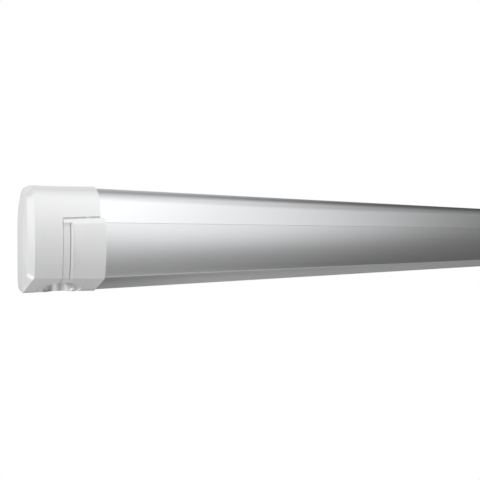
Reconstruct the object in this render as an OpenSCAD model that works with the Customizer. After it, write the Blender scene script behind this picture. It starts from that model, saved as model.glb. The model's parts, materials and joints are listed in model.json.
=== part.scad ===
// Roll-out cassette awning for a camper wall, shown closed.
// X runs along the cassette, the vehicle wall is the plane y = 0 and the front faces -Y.
// Sections are drawn in (u, z): u is the distance out from the wall, z = 0 is mid height.

/* [Overall] */
// Length of the closed awning over its end caps
awning_l = 2600; // [2560:10:3000]
// Height of the cassette section
case_h = 124; // [122:1:128]
// Distance from the wall to the crown of the front
case_d = 100; // [99:0.5:106]
// Radius of the bowed front
front_r = 180; // [150:5:240]
// Radius of the upper front corner
top_r = 25; // [20:1:28]
// Height of the sloping lower front
slope_h = 17.5; // [15:0.5:19]
// Distance from the wall to the foot of the sloping lower front
slope_u = 56; // [55:0.5:57]
// Height of the fixed upper front, from the top down to the parting line
lip_h = 40.5; // [39:0.5:43]
// Wall thickness of the cassette extrusion
case_wall = 2.4; // [2:0.1:2.8]
// Clearance between parts that pass each other
run_gap = 0.4; // [0.3:0.05:0.6]
// Clearance between parts that are pushed together
fit_gap = 0.1; // [0.05:0.01:0.15]
// Radial clearance of a pin in its bore
pin_gap = 0.06; // [0.04:0.01:0.1]

/* [Wall brackets] */
// Width of one bracket
bracket_w = 80; // [70:2:110]
// Distance from the awning's end to the middle of the outer wall brackets
bracket_in = 420; // [300:20:600]
// Thickness of the bracket plate
bracket_t = 3.5; // [3:0.25:4]
// Distance between the two wall bolts of a bracket
bolt_pitch = 50; // [36:2:60]
// Radius of a wall bolt hole
bolt_r = 3.3; // [2.7:0.1:3.6]
// Radius of the screw that locks the cassette to a bracket
lock_r = 2; // [1.5:0.1:2.4]

/* [End caps] */
// Length of the fixed end cap over the upper front
cap_l = 82.5; // [80:0.5:86]
// How far the caps stand proud of the extrusions
cap_proud = 2; // [1.6:0.1:2.4]
// Length of the bevel round the outer end
cap_bevel = 6.4; // [4:0.2:8]
// Height of the dome beyond the bevel
cap_dome = 4; // [3:0.5:6]
// How much the caps draw in from their inner edge to the bevel
cap_draft = 3.2; // [2:0.2:4]
// How far the caps' parting line lies above the extrusions' parting line
cap_step = 5.5; // [4:0.5:7]
// Distance from the outer end to the parting line between fixed cap and rail cap
part_in = 39; // [37:0.5:41]
// Distance from the outer end to the inner edge of the rail cap
rail_cap_in = 88.5; // [86:0.5:92]
// Width of the parting gap between the caps
part_gap = 1.4; // [1:0.1:1.8]
// Gap between the lead rail and the cassette's lip
lip_gap = 0.5; // [0.4:0.1:1.4]
// Thickness of the end plates
plate_t = 4; // [3:0.25:5]
// Distance from the outer end to the cassette extrusion
case_in = 70; // [69.5:0.5:73]

/* [Crank drive] */
// Distance from the outer end to the crank axis
crank_in = 44.5; // [43.5:0.25:45]
// Inner radius of the crank recess
recess_r = 18.5; // [16.5:0.5:19]
// Wall of the crank recess
recess_wall = 2; // [1.5:0.1:2.2]
// Teeth of the worm wheel
wheel_teeth = 14; // [12:1:14]
// Gear module of the worm and its wheel
gear_m = 2.4; // [2.2:0.1:2.5]
// Pitch radius of the worm
worm_r = 6.6; // [6:0.1:7]
// Face width of the worm wheel
wheel_w = 8; // [6:0.5:10]
// Radius of the worm shaft below the worm
crank_r = 5; // [4.5:0.1:5.5]
// Wall of the gearbox
gearbox_wall = 3; // [2.5:0.25:3.5]

/* [Roller] */
// Wall of the roller tube
roller_wall = 1.8; // [1.5:0.1:2.4]
// Thickness of the fabric wound on the roller
wound_t = 5.2; // [4:0.2:6]
// Gap between the wound fabric and the cassette
roll_clear = 1.4; // [1.2:0.1:2]
// Distance from the wall to the roller axis
roller_u = 41; // [40:0.5:42]
// Radius of the roller stub shafts
stub_r = 7; // [6:0.25:8]
// How much narrower the fabric is than the awning
fabric_less = 220; // [210:10:300]
// Thickness of the fabric
fabric_t = 0.6; // [0.4:0.1:0.8]

/* [Arms] */
// Distance from the awning's middle to the elbow pivots of the folded arms
elbow_in = 140; // [130:5:270]
// Sideways step from shoulder to elbow and from elbow to wrist
arm_step = 17; // [16:0.25:18]
// Downward pitch of the plane the arms open in, degrees
pitch = 5; // [4:0.25:5.5]
// Distance from the awning's end to the shoulder pivot
shoulder_in = 130; // [126:1:140]
// Distance from the wall to the shoulder pivot
shoulder_u = 28; // [27.5:0.25:29]
// Height of the shoulder pivot over the awning's bottom
shoulder_rise = 43; // [42.5:0.25:44]
// Width of the upper arm tube
upper_w = 26; // [24:0.5:26.5]
// Height of the upper arm tube
upper_h = 30; // [28:0.5:31]
// Width of the forearm tube
fore_w = 24; // [20:0.5:25]
// Height of the forearm tube
fore_h = 28; // [24:0.5:29]
// Wall of the arm tubes
arm_wall = 2; // [1.6:0.1:2.6]
// Radius of the shoulder and elbow pins
arm_pin_r = 5; // [4:0.25:6]
// Radius of the wrist pins
wrist_pin_r = 4.5; // [4:0.25:5.5]

/* [Lead rail] */
// Wall of the lead rail extrusion
rail_wall = 2.2; // [1.8:0.1:2.4]
// Distance from the wall to the back of the leg channel
channel_u = 15; // [14.5:0.25:15.5]
// Height of the leg channel
channel_h = 24; // [23:0.25:24.5]
// Radius of the fabric groove
groove_r = 4.3; // [4:0.1:4.6]

/* [Legs] */
// Distance from the awning's end to the leg pivot
leg_in = 112; // [110:1:120]
// Length of the outer leg tube beyond its pivot
leg_l = 1130; // [900:10:1150]
// Width of the outer leg tube
leg_w = 14; // [13:0.25:14.5]
// Height of the outer leg tube
leg_h = 16; // [14:0.25:16.5]
// Wall of the leg tubes
leg_wall = 1.5; // [1.2:0.1:1.8]
// Radius of the leg pivot pins
leg_pin_r = 3; // [2.5:0.1:3.5]
// Length of the clamp collar at the end of the outer tube
collar_l = 46; // [40:1:60]
// Length of the foot beyond its pin
foot_l = 13; // [11:0.5:14]

/* [Hidden] */
$fn = 64;
LEFT = -1;
RIGHT = 1;
skin_white = [0.93, 0.93, 0.93];
alu = [0.72, 0.73, 0.75];
cast = [0.55, 0.56, 0.58];
steel = [0.6, 0.6, 0.62];
dark = [0.16, 0.16, 0.17];
cloth = [0.62, 0.64, 0.66];

over = 1;
half_l = awning_l / 2;
fabric_w = awning_l - fabric_less;
half_h = case_h / 2;
roller_z = half_h / 2;
roll_r = half_h - roller_z - case_wall - roll_clear;
roller_r = roll_r - wound_t;
shoulder_z = shoulder_rise - half_h;
bracket_pitch = half_l - bracket_in;
back_u = bracket_t + 2;
lip_z = half_h - lip_h;
rail_top = lip_z - lip_gap;
x_case = -half_l + case_in;
x_rail = x_case + 1;
x_plate = x_case - plate_t;
x_ridge = -half_l + cap_dome + cap_bevel;
x_part = -half_l + part_in;
x_crank = -half_l + crank_in;
x_cap = -half_l + cap_l;
cap_low = lip_z + cap_step;
rail_cap_top = cap_low - part_gap;
shoulder_x = half_l - shoulder_in;
arm_l = shoulder_x - elbow_in;
leg_x = half_l - leg_in;
wheel_r = gear_m * wheel_teeth / 2;
gear_add = 0.8 * gear_m;
gear_ded = 1.1 * gear_m;
gear_fill = 0.4;
gear_slack = 2;
crank_u = roller_u + wheel_r + worm_r;
recess_out = recess_r + recess_wall;

// Section outline of the closed awning, at an inset t (below zero stands proud)
front_c = [case_d - front_r, 0];
top_c = [front_c[0] + sqrt(pow(front_r - top_r, 2) - pow(half_h - top_r, 2)), half_h - top_r];
top_a = atan2(top_c[1], top_c[0] - front_c[0]);
slope_low = [slope_u, -half_h];
slope_high = [front_c[0] + sqrt(front_r * front_r - pow(slope_h - half_h, 2)), slope_h - half_h];
slope_d = (slope_high - slope_low) / norm(slope_high - slope_low);
slope_n = [-slope_d[1], slope_d[0]];
arc_steps = 14;
function on_circle(a) = [cos(a), sin(a)];
function arc(c, r, a0, a1, n) = [for (i = [0:n]) c + r * on_circle(a0 + (a1 - a0) * i / n)];
function flip(list) = [for (i = [len(list) - 1:-1:0]) list[i]];
function slope_base(t) = slope_low + t * slope_n + slope_d * t * (1 - slope_n[1]) / slope_d[1];
function slope_at_u(t, u) = slope_low + t * slope_n + slope_d * (u - slope_u - t * slope_n[0]) / slope_d[0];
function slope_reach(m, r) = -m * slope_d + sqrt(pow(m * slope_d, 2) - m * m + r * r);
function slope_head(t) = slope_low + t * slope_n
    + slope_d * slope_reach(slope_low + t * slope_n - front_c, front_r - t);
function front_a(p) = atan2(p[1] - front_c[1], p[0] - front_c[0]);
function front_arc(t, a0, a1) = arc(front_c, front_r - t, a0, a1, arc_steps);
function z_angle(t, z) = asin(z / (front_r - t));
function top_arc(t) = arc(top_c, top_r - t, top_a, 90, arc_steps);
function outline(t) = concat(
    [[back_u + t, t - half_h], slope_base(t)],
    front_arc(t, front_a(slope_head(t)), top_a),
    top_arc(t),
    [[back_u + t, half_h - t]]);

// Extrudes a (u, z) section along X
module along(x0, x1) translate([x0, 0, 0]) mirror([0, 1, 0]) rotate([90, 0, 90])
    linear_extrude(x1 - x0) children();
module solid_section(t, x0, x1) along(x0, x1) polygon(outline(t));
module skin(t0, t1, x0, x1) along(x0, x1) difference() {
    polygon(outline(t0));
    polygon(outline(t1));
}
module block(x, u, z) translate([x[0], -u[1], z[0]]) cube([x[1] - x[0], u[1] - u[0], z[1] - z[0]]);
module x_rod(x0, x1, u, z, r) translate([x0, -u, z]) rotate([0, 90, 0]) cylinder(h = x1 - x0, r = r);
module y_rod(x, u0, u1, z, r) translate([x, -u0, z]) rotate([90, 0, 0]) cylinder(h = u1 - u0, r = r);
module z_rod(x, u, z0, z1, r) translate([x, -u, z0]) cylinder(h = z1 - z0, r = r);
module at_side(side) if (side == RIGHT) mirror([1, 0, 0]) children(); else children();
module rounded(w, h, r) {
    square([w - 2 * r, h], center = true);
    square([w, h - 2 * r], center = true);
    for (sx = [-1, 1], sy = [-1, 1]) translate([sx * (w / 2 - r), sy * (h / 2 - r)]) circle(r);
}

// Cassette extrusion with its hook for the wall brackets and its screw ports
port_r = 3.6;
port_hole_r = 1.9;
ports = [[back_u + 11.5, half_h - 5.6], [top_c[0] + 15, top_c[1] + 13], [back_u + 5, -half_h + 11]];
hook_z = half_h - 11.5;
hook_gap = 5.2;
hook_box = 10;
ledge_u = back_u + 8;
module cassette_section() {
    difference() {
        union() {
            polygon(concat(
                front_arc(0, z_angle(0, lip_z), top_a), top_arc(0), [[back_u, half_h]],
                [[back_u, half_h - case_wall]],
                flip(top_arc(case_wall)), flip(front_arc(case_wall, z_angle(case_wall, lip_z), top_a))));
            translate([back_u, hook_z]) square([case_wall, half_h - hook_z - case_wall / 2]);
            translate([back_u + hook_gap, hook_z - hook_box])
                square([case_wall, half_h - hook_z + hook_box - case_wall / 2]);
            translate([back_u, hook_z - hook_box]) square([hook_gap + case_wall, case_wall]);
            translate([back_u, -half_h]) square([case_wall, half_h + hook_z - hook_box + case_wall / 2]);
            translate([back_u, -half_h]) square([ledge_u - back_u, case_wall]);
            for (p = ports) translate(p) circle(port_r);
        }
        for (p = ports) translate(p) circle(port_hole_r);
    }
}
module cassette_housing() color(alu) difference() {
    along(x_case, -x_case) cassette_section();
    for (x = bracket_xs()) z_rod(x, lock_u, -half_h - over, -half_h + case_wall + over, lock_r);
    shoulder_bolt_holes(back_u - over, back_u + case_wall + over, bolt_shank_r + pin_gap);
}

// Rubber strip that seals the cassette's top edge to the wall
module wall_seal() color(dark) along(-half_l + cap_l + over, half_l - cap_l - over) {
    translate([0.2, half_h - 4]) square([back_u - 0.2, 2.4]);
    translate([1.9, half_h - 2.6]) circle(1.6);
}

// Brackets that bolt to the wall and carry the cassette on a hook
lock_u = back_u + 4.6;
flange_t = 3.2;
hook_t = 3.8;
hook_rise = 8.5;
hook_lip = 2.4;
lock_head_h = 1.2;
function bracket_xs() = [for (i = [-1:1]) i * bracket_pitch];
module bracket_section() {
    arm_z = hook_z - run_gap - hook_t;
    lip_u = back_u + case_wall + run_gap;
    flange_z = -half_h - run_gap / 2 - flange_t;
    translate([0, flange_z]) square([bracket_t, arm_z + hook_t - flange_z]);
    translate([0, flange_z]) square([ledge_u, flange_t]);
    translate([0, arm_z]) square([lip_u + hook_lip, hook_t]);
    translate([lip_u, arm_z]) square([hook_lip, hook_t + hook_rise]);
}
module wall_brackets() color(alu) for (x = bracket_xs()) difference() {
    along(x - bracket_w / 2, x + bracket_w / 2) bracket_section();
    for (s = [-1, 1]) y_rod(x + s * bolt_pitch / 2, -1, bracket_t + 1, 0, bolt_r);
    z_rod(x, lock_u, -half_h - flange_t - 2, -half_h + 1, lock_r + fit_gap);
}
module bracket_lock_screws() color(steel) for (x = bracket_xs()) {
    head_z = -half_h - run_gap / 2 - flange_t;
    z_rod(x, lock_u, head_z - lock_head_h, head_z, 2 * lock_r);
    z_rod(x, lock_u, head_z, -half_h + case_wall, lock_r - fit_gap / 2);
}

// Plates screwed to the ends of the cassette, which carry the roller
bush_r = stub_r + 3;
screw_shank_r = port_hole_r - fit_gap / 2;
module plate_zone(x0, x1) {
    block([x0, x1], [0, slope_u - 3], [-case_h, case_h]);
    block([x0, x1], [0, 2 * case_d], [lip_z + 1, case_h]);
}
module end_plate(side) color(cast) at_side(side) difference() {
    intersection() {
        solid_section(fit_gap, x_plate, x_case);
        plate_zone(x_plate, x_case);
    }
    x_rod(x_plate - 1, x_case + 1, roller_u, roller_z, bush_r);
    for (p = ports) x_rod(x_plate - 1, x_case + 1, p[0], p[1], port_hole_r + fit_gap);
}
module end_plate_screws() color(steel) for (side = [LEFT, RIGHT], p = ports) at_side(side) {
    x_rod(x_plate - 2, x_plate, p[0], p[1], 2 * port_hole_r);
    x_rod(x_plate, x_case + 16, p[0], p[1], screw_shank_r);
}

// Fixed end caps: a domed end, a sleeve over the cassette and a side piece below
cap_wall = 2.2;
cap_wall_end = 3;
slab = 0.02;
function cap_t(x) = cap_draft * (x_cap - x) / (x_cap - x_ridge) - cap_proud;
module cap_slab(x, d) solid_section(cap_t(x) + d, x, x + slab);
module cap_loft(x0, x1, d) hull() {
    cap_slab(x0, d);
    cap_slab(x1 - slab, d);
}
module cap_body() intersection() {
    hull() {
        cap_slab(x_cap - slab, 0);
        cap_slab(x_ridge, 0);
        solid_section(cap_t(x_ridge) + cap_bevel, -half_l + cap_dome, -half_l + cap_dome + slab);
        solid_section(6 * cap_dome, -half_l, -half_l + slab);
    }
    union() {
        block([-half_l, x_part - part_gap / 2], [0, 2 * case_d], [-case_h, case_h]);
        block([-half_l, x_cap], [0, 2 * case_d], [cap_low, case_h]);
        block([-half_l, x_plate], [0, slope_u - 2], [-case_h, case_h]);
    }
}
module cap_cavity() {
    solid_section(-fit_gap, x_plate - 1, x_cap + 1);
    hull() {
        cap_slab(x_plate, cap_wall);
        cap_slab(x_ridge + cap_wall_end, cap_wall);
        solid_section(cap_t(x_ridge) + cap_bevel + cap_wall, -half_l + cap_dome + cap_wall_end, x_ridge);
    }
}
module end_cap(side, crank) color(skin_white) at_side(side) difference() {
    cap_body();
    cap_cavity();
    if (crank) z_rod(x_crank, crank_u, -case_h, slope_h - half_h + cap_proud, recess_out + fit_gap);
}

// Cup below the gearbox that guides the crank hook to its eye
cup_depth = 46;
cup_top = cup_depth - half_h;
module crank_guide() color(skin_white) intersection() {
    translate([x_crank, -crank_u, 0]) rotate_extrude() {
        translate([crank_r + 0.3, cup_top]) square([3, gearbox_z0 - cup_top]);
        translate([crank_r + 0.3, cup_top - recess_wall]) square([recess_out - crank_r - 0.3, recess_wall]);
        translate([recess_r, -half_h - cap_proud]) square([recess_wall, half_h + cap_proud + cup_top]);
    }
    cap_loft(x_crank - 2 * recess_out, x_crank + 2 * recess_out, 0);
}

// Worm gearbox on the left end plate
gearbox_u0 = roller_u - wheel_r - gear_add - gear_slack - gearbox_wall;
gearbox_u1 = crank_u + worm_r + gear_add + gear_slack + gearbox_wall;
gearbox_z0 = roller_z - wheel_r - gear_add - gear_slack - gearbox_wall;
gearbox_z1 = roller_z + wheel_r + gear_add + gear_slack + gearbox_wall;
gearbox_x0 = x_crank - worm_r - gear_add - gear_slack - gearbox_wall;
worm_core_r = worm_r - gear_ded;
worm_half = 1.5 * PI * gear_m;
gearbox_screw_r = 1.5;
gearbox_inset = 4.5;
function gearbox_corners() = [for (u = [gearbox_u0 + gearbox_inset, gearbox_u1 - gearbox_inset],
    z = [gearbox_z0 + gearbox_inset, gearbox_z1 - gearbox_inset]) [u, z]];
module gearbox_housing() color(cast) difference() {
    block([gearbox_x0, x_plate], [gearbox_u0, gearbox_u1], [gearbox_z0, gearbox_z1]);
    difference() {
        block([gearbox_x0 - 1, x_plate - gearbox_wall],
            [gearbox_u0 + gearbox_wall, gearbox_u1 - gearbox_wall],
            [gearbox_z0 + gearbox_wall, gearbox_z1 - gearbox_wall]);
        for (c = gearbox_corners()) x_rod(gearbox_x0 - 2, x_plate, c[0], c[1], 3);
    }
    for (c = gearbox_corners()) x_rod(gearbox_x0 - 1, x_plate - gearbox_wall, c[0], c[1], gearbox_screw_r);
    x_rod(gearbox_x0, x_plate + 1, roller_u, roller_z, stub_r + 0.3);
    z_rod(x_crank, crank_u, gearbox_z0 - 1, roller_z, crank_r + pin_gap);
    z_rod(x_crank, crank_u, roller_z, gearbox_z1 + 1, worm_core_r + pin_gap);
    for (p = ports) x_rod(x_plate - 3, x_plate + 1, p[0], p[1], 2 * port_hole_r + 0.3);
}
module gearbox_cover() color(cast) difference() {
    block([gearbox_x0 - gearbox_wall, gearbox_x0], [gearbox_u0, gearbox_u1], [gearbox_z0, gearbox_z1]);
    for (c = gearbox_corners())
        x_rod(gearbox_x0 - gearbox_wall - 1, gearbox_x0 + 1, c[0], c[1], gearbox_screw_r + fit_gap);
}
module gearbox_screws() color(steel) for (c = gearbox_corners()) {
    x_rod(gearbox_x0 - gearbox_wall - 1.8, gearbox_x0 - gearbox_wall, c[0], c[1], 2 * gearbox_screw_r);
    x_rod(gearbox_x0 - gearbox_wall, gearbox_x0 + 12, c[0], c[1], gearbox_screw_r - fit_gap / 2);
}

// Worm on the crank shaft: a helical thread round a core
thread_steps = 16;
worm_turns = 2 * worm_half / (PI * gear_m) - 1;
thread_root = worm_core_r - 0.3;
thread_b = gear_fill * PI * gear_m / 2;
thread_tip_b = thread_b - gear_add * tan(20);
thread_root_b = thread_b + gear_ded * tan(20);
thread_ring = [
    [thread_root, -thread_root_b], [worm_r + gear_add, -thread_tip_b],
    [worm_r + gear_add, thread_tip_b], [thread_root, thread_root_b]];
thread_rings = round(worm_turns * thread_steps);
function thread_point(i, p) = let (a = 360 * i / thread_steps)
    [p[0] * cos(a), p[0] * sin(a), p[1] + PI * gear_m * (i - thread_rings / 2) / thread_steps];
function thread_face(a, b) = [b, b + 4, a + 4, a];
module worm_thread() polyhedron(
    points = [for (i = [0:thread_rings], p = thread_ring) thread_point(i, p)],
    faces = concat(
        [[3, 2, 1, 0]],
        [for (i = [0:thread_rings - 1], k = [0:3]) thread_face(4 * i + k, 4 * i + (k + 1) % 4)],
        [[for (k = [0:3]) 4 * thread_rings + k]]),
    convexity = 8);
wheel_side_a = 90;
module worm_shaft() color(steel) {
    translate([x_crank, -crank_u, roller_z])
        rotate([0, 0, wheel_side_a - 360 * thread_rings / (2 * thread_steps)]) worm_thread();
    z_rod(x_crank, crank_u, roller_z - worm_half, gearbox_z1, worm_core_r);
    z_rod(x_crank, crank_u, eye_top + run_gap - 12, roller_z - worm_half, crank_r);
}

// Eye that the crank handle hooks into
eye_top = cup_top - recess_wall - 1;
eye_collar_l = 13;
eye_r = 6.6;
eye_wire_r = 2.4;
eye_z = eye_top - eye_collar_l - eye_r;
module crank_eye() color(steel) difference() {
    union() {
        translate([x_crank, -crank_u, eye_z]) rotate([90, 0, 0])
            rotate_extrude() translate([eye_r, 0]) circle(eye_wire_r);
        z_rod(x_crank, crank_u, eye_top - eye_collar_l - 1, eye_top, crank_r + 2.2);
    }
    z_rod(x_crank, crank_u, eye_top + run_gap - 12, eye_top + 1, crank_r + fit_gap / 5);
}

// Worm wheel on the roller's stub shaft
function tooth(i) = let (
    a = 360 * (i + 0.5) / wheel_teeth,
    b = gear_fill * 180 / wheel_teeth,
    root = wheel_r - gear_ded,
    tip = wheel_r + gear_add,
    root_b = b + gear_ded * tan(20) / wheel_r * 180 / PI,
    tip_b = b - gear_add * tan(20) / wheel_r * 180 / PI)
    [root * [cos(a - root_b), sin(a - root_b)], tip * [cos(a - tip_b), sin(a - tip_b)],
     tip * [cos(a + tip_b), sin(a + tip_b)], root * [cos(a + root_b), sin(a + root_b)]];
wheel_twist = wheel_w * gear_m / (2 * worm_r) / wheel_r * 180 / PI;
module worm_wheel() color("goldenrod") difference() {
    translate([x_crank - wheel_w / 2, -roller_u, roller_z]) mirror([0, 1, 0]) rotate([90, 0, 90])
        rotate([0, 0, wheel_twist / 2])
        linear_extrude(wheel_w, twist = wheel_twist, slices = 4)
        polygon([for (i = [0:wheel_teeth - 1]) each tooth(i)]);
    x_rod(x_crank - wheel_w, x_crank + wheel_w, roller_u, roller_z, stub_r + fit_gap / 5);
}

// Roller tube with the groove that holds the fabric's inner edge
roller_end = 11;
plug_l = 40;
keder_r = 2.6;
module roller_tube() color(alu) translate([0, -roller_u, roller_z])
    along(x_case + roller_end, -x_case - roller_end)
    difference() {
        union() {
            difference() {
                circle(roller_r);
                circle(roller_r - roller_wall);
            }
            intersection() {
                circle(roller_r);
                translate([0, roller_r - keder_r - 1]) circle(keder_r + roller_wall);
            }
        }
        translate([0, roller_r - keder_r - 1]) circle(keder_r);
        translate([-1.2, roller_r - keder_r]) square([2.4, 2 * keder_r]);
    }
module roller_plug(side) color(dark) at_side(side) {
    stub_x = side == LEFT ? x_crank - wheel_w : x_plate - 3;
    difference() {
        x_rod(x_case + roller_end, x_case + roller_end + plug_l, roller_u, roller_z,
            roller_r - roller_wall - fit_gap);
        translate([0, -roller_u, roller_z + roller_r - keder_r - 1]) rotate([0, 90, 0])
            translate([0, 0, x_case]) cylinder(
                h = roller_end + plug_l + 1, r = keder_r + roller_wall + fit_gap);
    }
    x_rod(x_case + roller_end - 4, x_case + roller_end, roller_u, roller_z, roller_r);
    x_rod(stub_x, x_case + roller_end, roller_u, roller_z, stub_r);
}
module roller_bushes() color(skin_white) for (side = [LEFT, RIGHT]) at_side(side) difference() {
    union() {
        x_rod(x_plate, x_case, roller_u, roller_z, bush_r - fit_gap / 2);
        x_rod(x_case, x_case + 3, roller_u, roller_z, bush_r + 3);
    }
    x_rod(x_plate - 1, x_case + 4, roller_u, roller_z, stub_r + pin_gap);
}

// Fabric wound on the roller, the stretch to the lead rail, and the cord in its front hem
groove_u = front_c[0] + front_r - rail_wall - groove_r - 1.6;
groove_z = rail_top - groove_r - rail_wall - 1.5;
slot_a = 168;
slot_half = 1.6;
slot_end = [groove_u, groove_z] + (groove_r + 2.5) * [cos(slot_a), sin(slot_a)];
roll_c = [roller_u, roller_z];
roll_out = roll_r + run_gap;
sheet_to = slot_end - roll_c;
sheet_a = atan2(sheet_to[1], sheet_to[0]) + asin(roll_out / norm(sheet_to));
sheet_n = [-sin(sheet_a), cos(sheet_a)];
sheet_from = roll_c - roll_out * sheet_n;
module fabric_roll() color(cloth) difference() {
    x_rod(-fabric_w / 2, fabric_w / 2, roller_u, roller_z, roll_r);
    x_rod(-fabric_w / 2 - 1, fabric_w / 2 + 1, roller_u, roller_z, roller_r + fit_gap);
}
module fabric_sheet() color(cloth) along(-fabric_w / 2, fabric_w / 2) polygon([
    sheet_from, slot_end, slot_end - fabric_t * sheet_n, sheet_from - fabric_t * sheet_n]);
module fabric_keder() color(cloth)
    x_rod(-fabric_w / 2, fabric_w / 2, groove_u, groove_z, groove_r - run_gap);

// Arms: children are drawn along x from the shoulder pivot, v outward, w square to the arm plane
module arm_frame(side) at_side(side) translate([-shoulder_x, -shoulder_u, shoulder_z])
    rotate([pitch, 0, 0]) mirror([0, 1, 0]) children();
module bar(x0, x1, v) translate([x0, v, 0]) rotate([90, 0, 90]) linear_extrude(x1 - x0) children();
module level(w0, w1) translate([0, 0, w0]) linear_extrude(w1 - w0) children();
module both_cheeks(w0, w1) {
    level(w0, w1) children();
    level(-w1, -w0) children();
}
module pin(p, r, w) translate([p[0], p[1], -w]) cylinder(h = 2 * w, r = r);
tube_corner = 6;
pin_through = 40;
weld = 0.5;
cheek_gap = 0.3;
boss_r = arm_pin_r + 7;
shoulder_half = 11;
cheek_t = 4.5;
arm_start = 20;
spigot_l = 30;
elbow_back = 34;
elbow_half = 8;
elbow_cheek_t = 6.4;
elbow_p = [arm_l, arm_step];
wrist_p = [0, 2 * arm_step];
wrist_half = 10;
wrist_cheek_t = 4;
wrist_r = wrist_pin_r + 6.5;
fore_start = 24;
bolt_shank_r = 3;
bracket_half = 30;
bracket_front = shoulder_u - boss_r - run_gap - 2;
module arm_tube(w, h, x0, x1, v) color(skin_white) bar(x0, x1, v) difference() {
    rounded(w, h, tube_corner);
    rounded(w - 2 * arm_wall, h - 2 * arm_wall, tube_corner - arm_wall);
}
module spigot(w, h, x0, x1, v) bar(x0, x1, v)
    rounded(w - 2 * arm_wall - 2 * fit_gap, h - 2 * arm_wall - 2 * fit_gap, tube_corner - arm_wall);

bolt_off = 10;
bolt_rise = 9;
bracket_rise = 17;
module shoulder_bolt_holes(u0, u1, r) for (side = [LEFT, RIGHT], s = [-1, 1])
    at_side(side) y_rod(-shoulder_x - boss_r - bolt_off, u0, u1, shoulder_z + s * bolt_rise, r);
module shoulder_bracket(side) color(cast) difference() {
    union() {
        at_side(side) block([-shoulder_x - bracket_half, -shoulder_x + bracket_half],
            [back_u + case_wall + fit_gap, bracket_front],
            [shoulder_z - bracket_rise, shoulder_z + bracket_rise]);
        arm_frame(side) both_cheeks(shoulder_half + cheek_gap, shoulder_half + cheek_gap + cheek_t) {
            circle(boss_r);
            translate([-boss_r, -boss_r - run_gap - 5]) square([2 * boss_r, boss_r + run_gap + 5]);
        }
    }
    arm_frame(side) pin([0, 0], arm_pin_r + fit_gap / 5, pin_through);
    shoulder_bolt_holes(0, shoulder_u - boss_r, bolt_shank_r + pin_gap);
    at_side(side) block([-shoulder_x - case_d, -shoulder_x + case_d], [0, 2 * case_d],
        [-half_h, rail_web_z + run_gap]);
}
module shoulder_bolts() color(steel) {
    shoulder_bolt_holes(back_u, bracket_front, bolt_shank_r);
    shoulder_bolt_holes(bracket_front, shoulder_u - boss_r, bolt_shank_r + 2);
}
module shoulder_pins() color(steel) for (side = [LEFT, RIGHT])
    arm_frame(side) pin([0, 0], arm_pin_r, shoulder_half + cheek_gap + cheek_t);
module shoulder_knuckle(side) color(cast) arm_frame(side) difference() {
    union() {
        pin([0, 0], boss_r, shoulder_half);
        level(-shoulder_half, shoulder_half) translate([0, -9]) square([arm_start, 18]);
        spigot(upper_w, upper_h, arm_start - weld, arm_start + spigot_l, 0);
    }
    pin([0, 0], arm_pin_r + pin_gap, pin_through);
}
module upper_arm(side) arm_frame(side) arm_tube(upper_w, upper_h, arm_start, arm_l - elbow_back, 0);
spring_r = 8;
spring_l = 420;
rod_r = 3;
module arm_spring(side) color(steel) arm_frame(side) {
    bar(arm_start + spigot_l, arm_start + spigot_l + spring_l, 0) circle(spring_r);
    bar(arm_start + spigot_l + spring_l, arm_l - elbow_back - spigot_l, 0) circle(rod_r);
}
module elbow_fork(side) color(cast) arm_frame(side) difference() {
    union() {
        both_cheeks(elbow_half + cheek_gap, elbow_half + cheek_gap + elbow_cheek_t) {
            translate(elbow_p) circle(boss_r + 2);
            polygon([[arm_l - elbow_back, -12], [arm_l + 3, arm_step - 13.6],
                [arm_l - 6, arm_step + 12.6], [arm_l - elbow_back, 13]]);
        }
        level(-elbow_half - cheek_gap - 1, elbow_half + cheek_gap + 1)
            translate([arm_l - elbow_back, -12]) square([12, 24]);
        spigot(upper_w, upper_h, arm_l - elbow_back - spigot_l, arm_l - elbow_back + weld, 0);
    }
    pin(elbow_p, arm_pin_r + fit_gap / 5, pin_through);
}
module elbow_pin(side) color(steel) arm_frame(side)
    pin(elbow_p, arm_pin_r, elbow_half + cheek_gap + elbow_cheek_t);
module elbow_tongue(side) color(cast) arm_frame(side) difference() {
    union() {
        level(-elbow_half, elbow_half) {
            translate(elbow_p) circle(boss_r + 1);
            polygon([[arm_l - elbow_back, 2 * arm_step + 12], [arm_l + 3, arm_step + 13],
                [arm_l - 6, arm_step - 11.8], [arm_l - elbow_back, 2 * arm_step - 12]]);
        }
        spigot(fore_w, fore_h, arm_l - elbow_back - spigot_l, arm_l - elbow_back + weld, 2 * arm_step);
    }
    pin(elbow_p, arm_pin_r + pin_gap, pin_through);
}
module forearm(side) arm_frame(side) arm_tube(fore_w, fore_h, fore_start, arm_l - elbow_back, 2 * arm_step);
module wrist_knuckle(side, gap) color(cast) arm_frame(side) difference() {
    union() {
        pin(wrist_p, wrist_r, wrist_half);
        level(-wrist_half, wrist_half) translate([0, 2 * arm_step - 8]) square([fore_start, 16]);
        spigot(fore_w, fore_h, fore_start - weld, fore_start + spigot_l, 2 * arm_step);
    }
    pin(wrist_p, wrist_pin_r + gap, pin_through);
}

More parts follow.
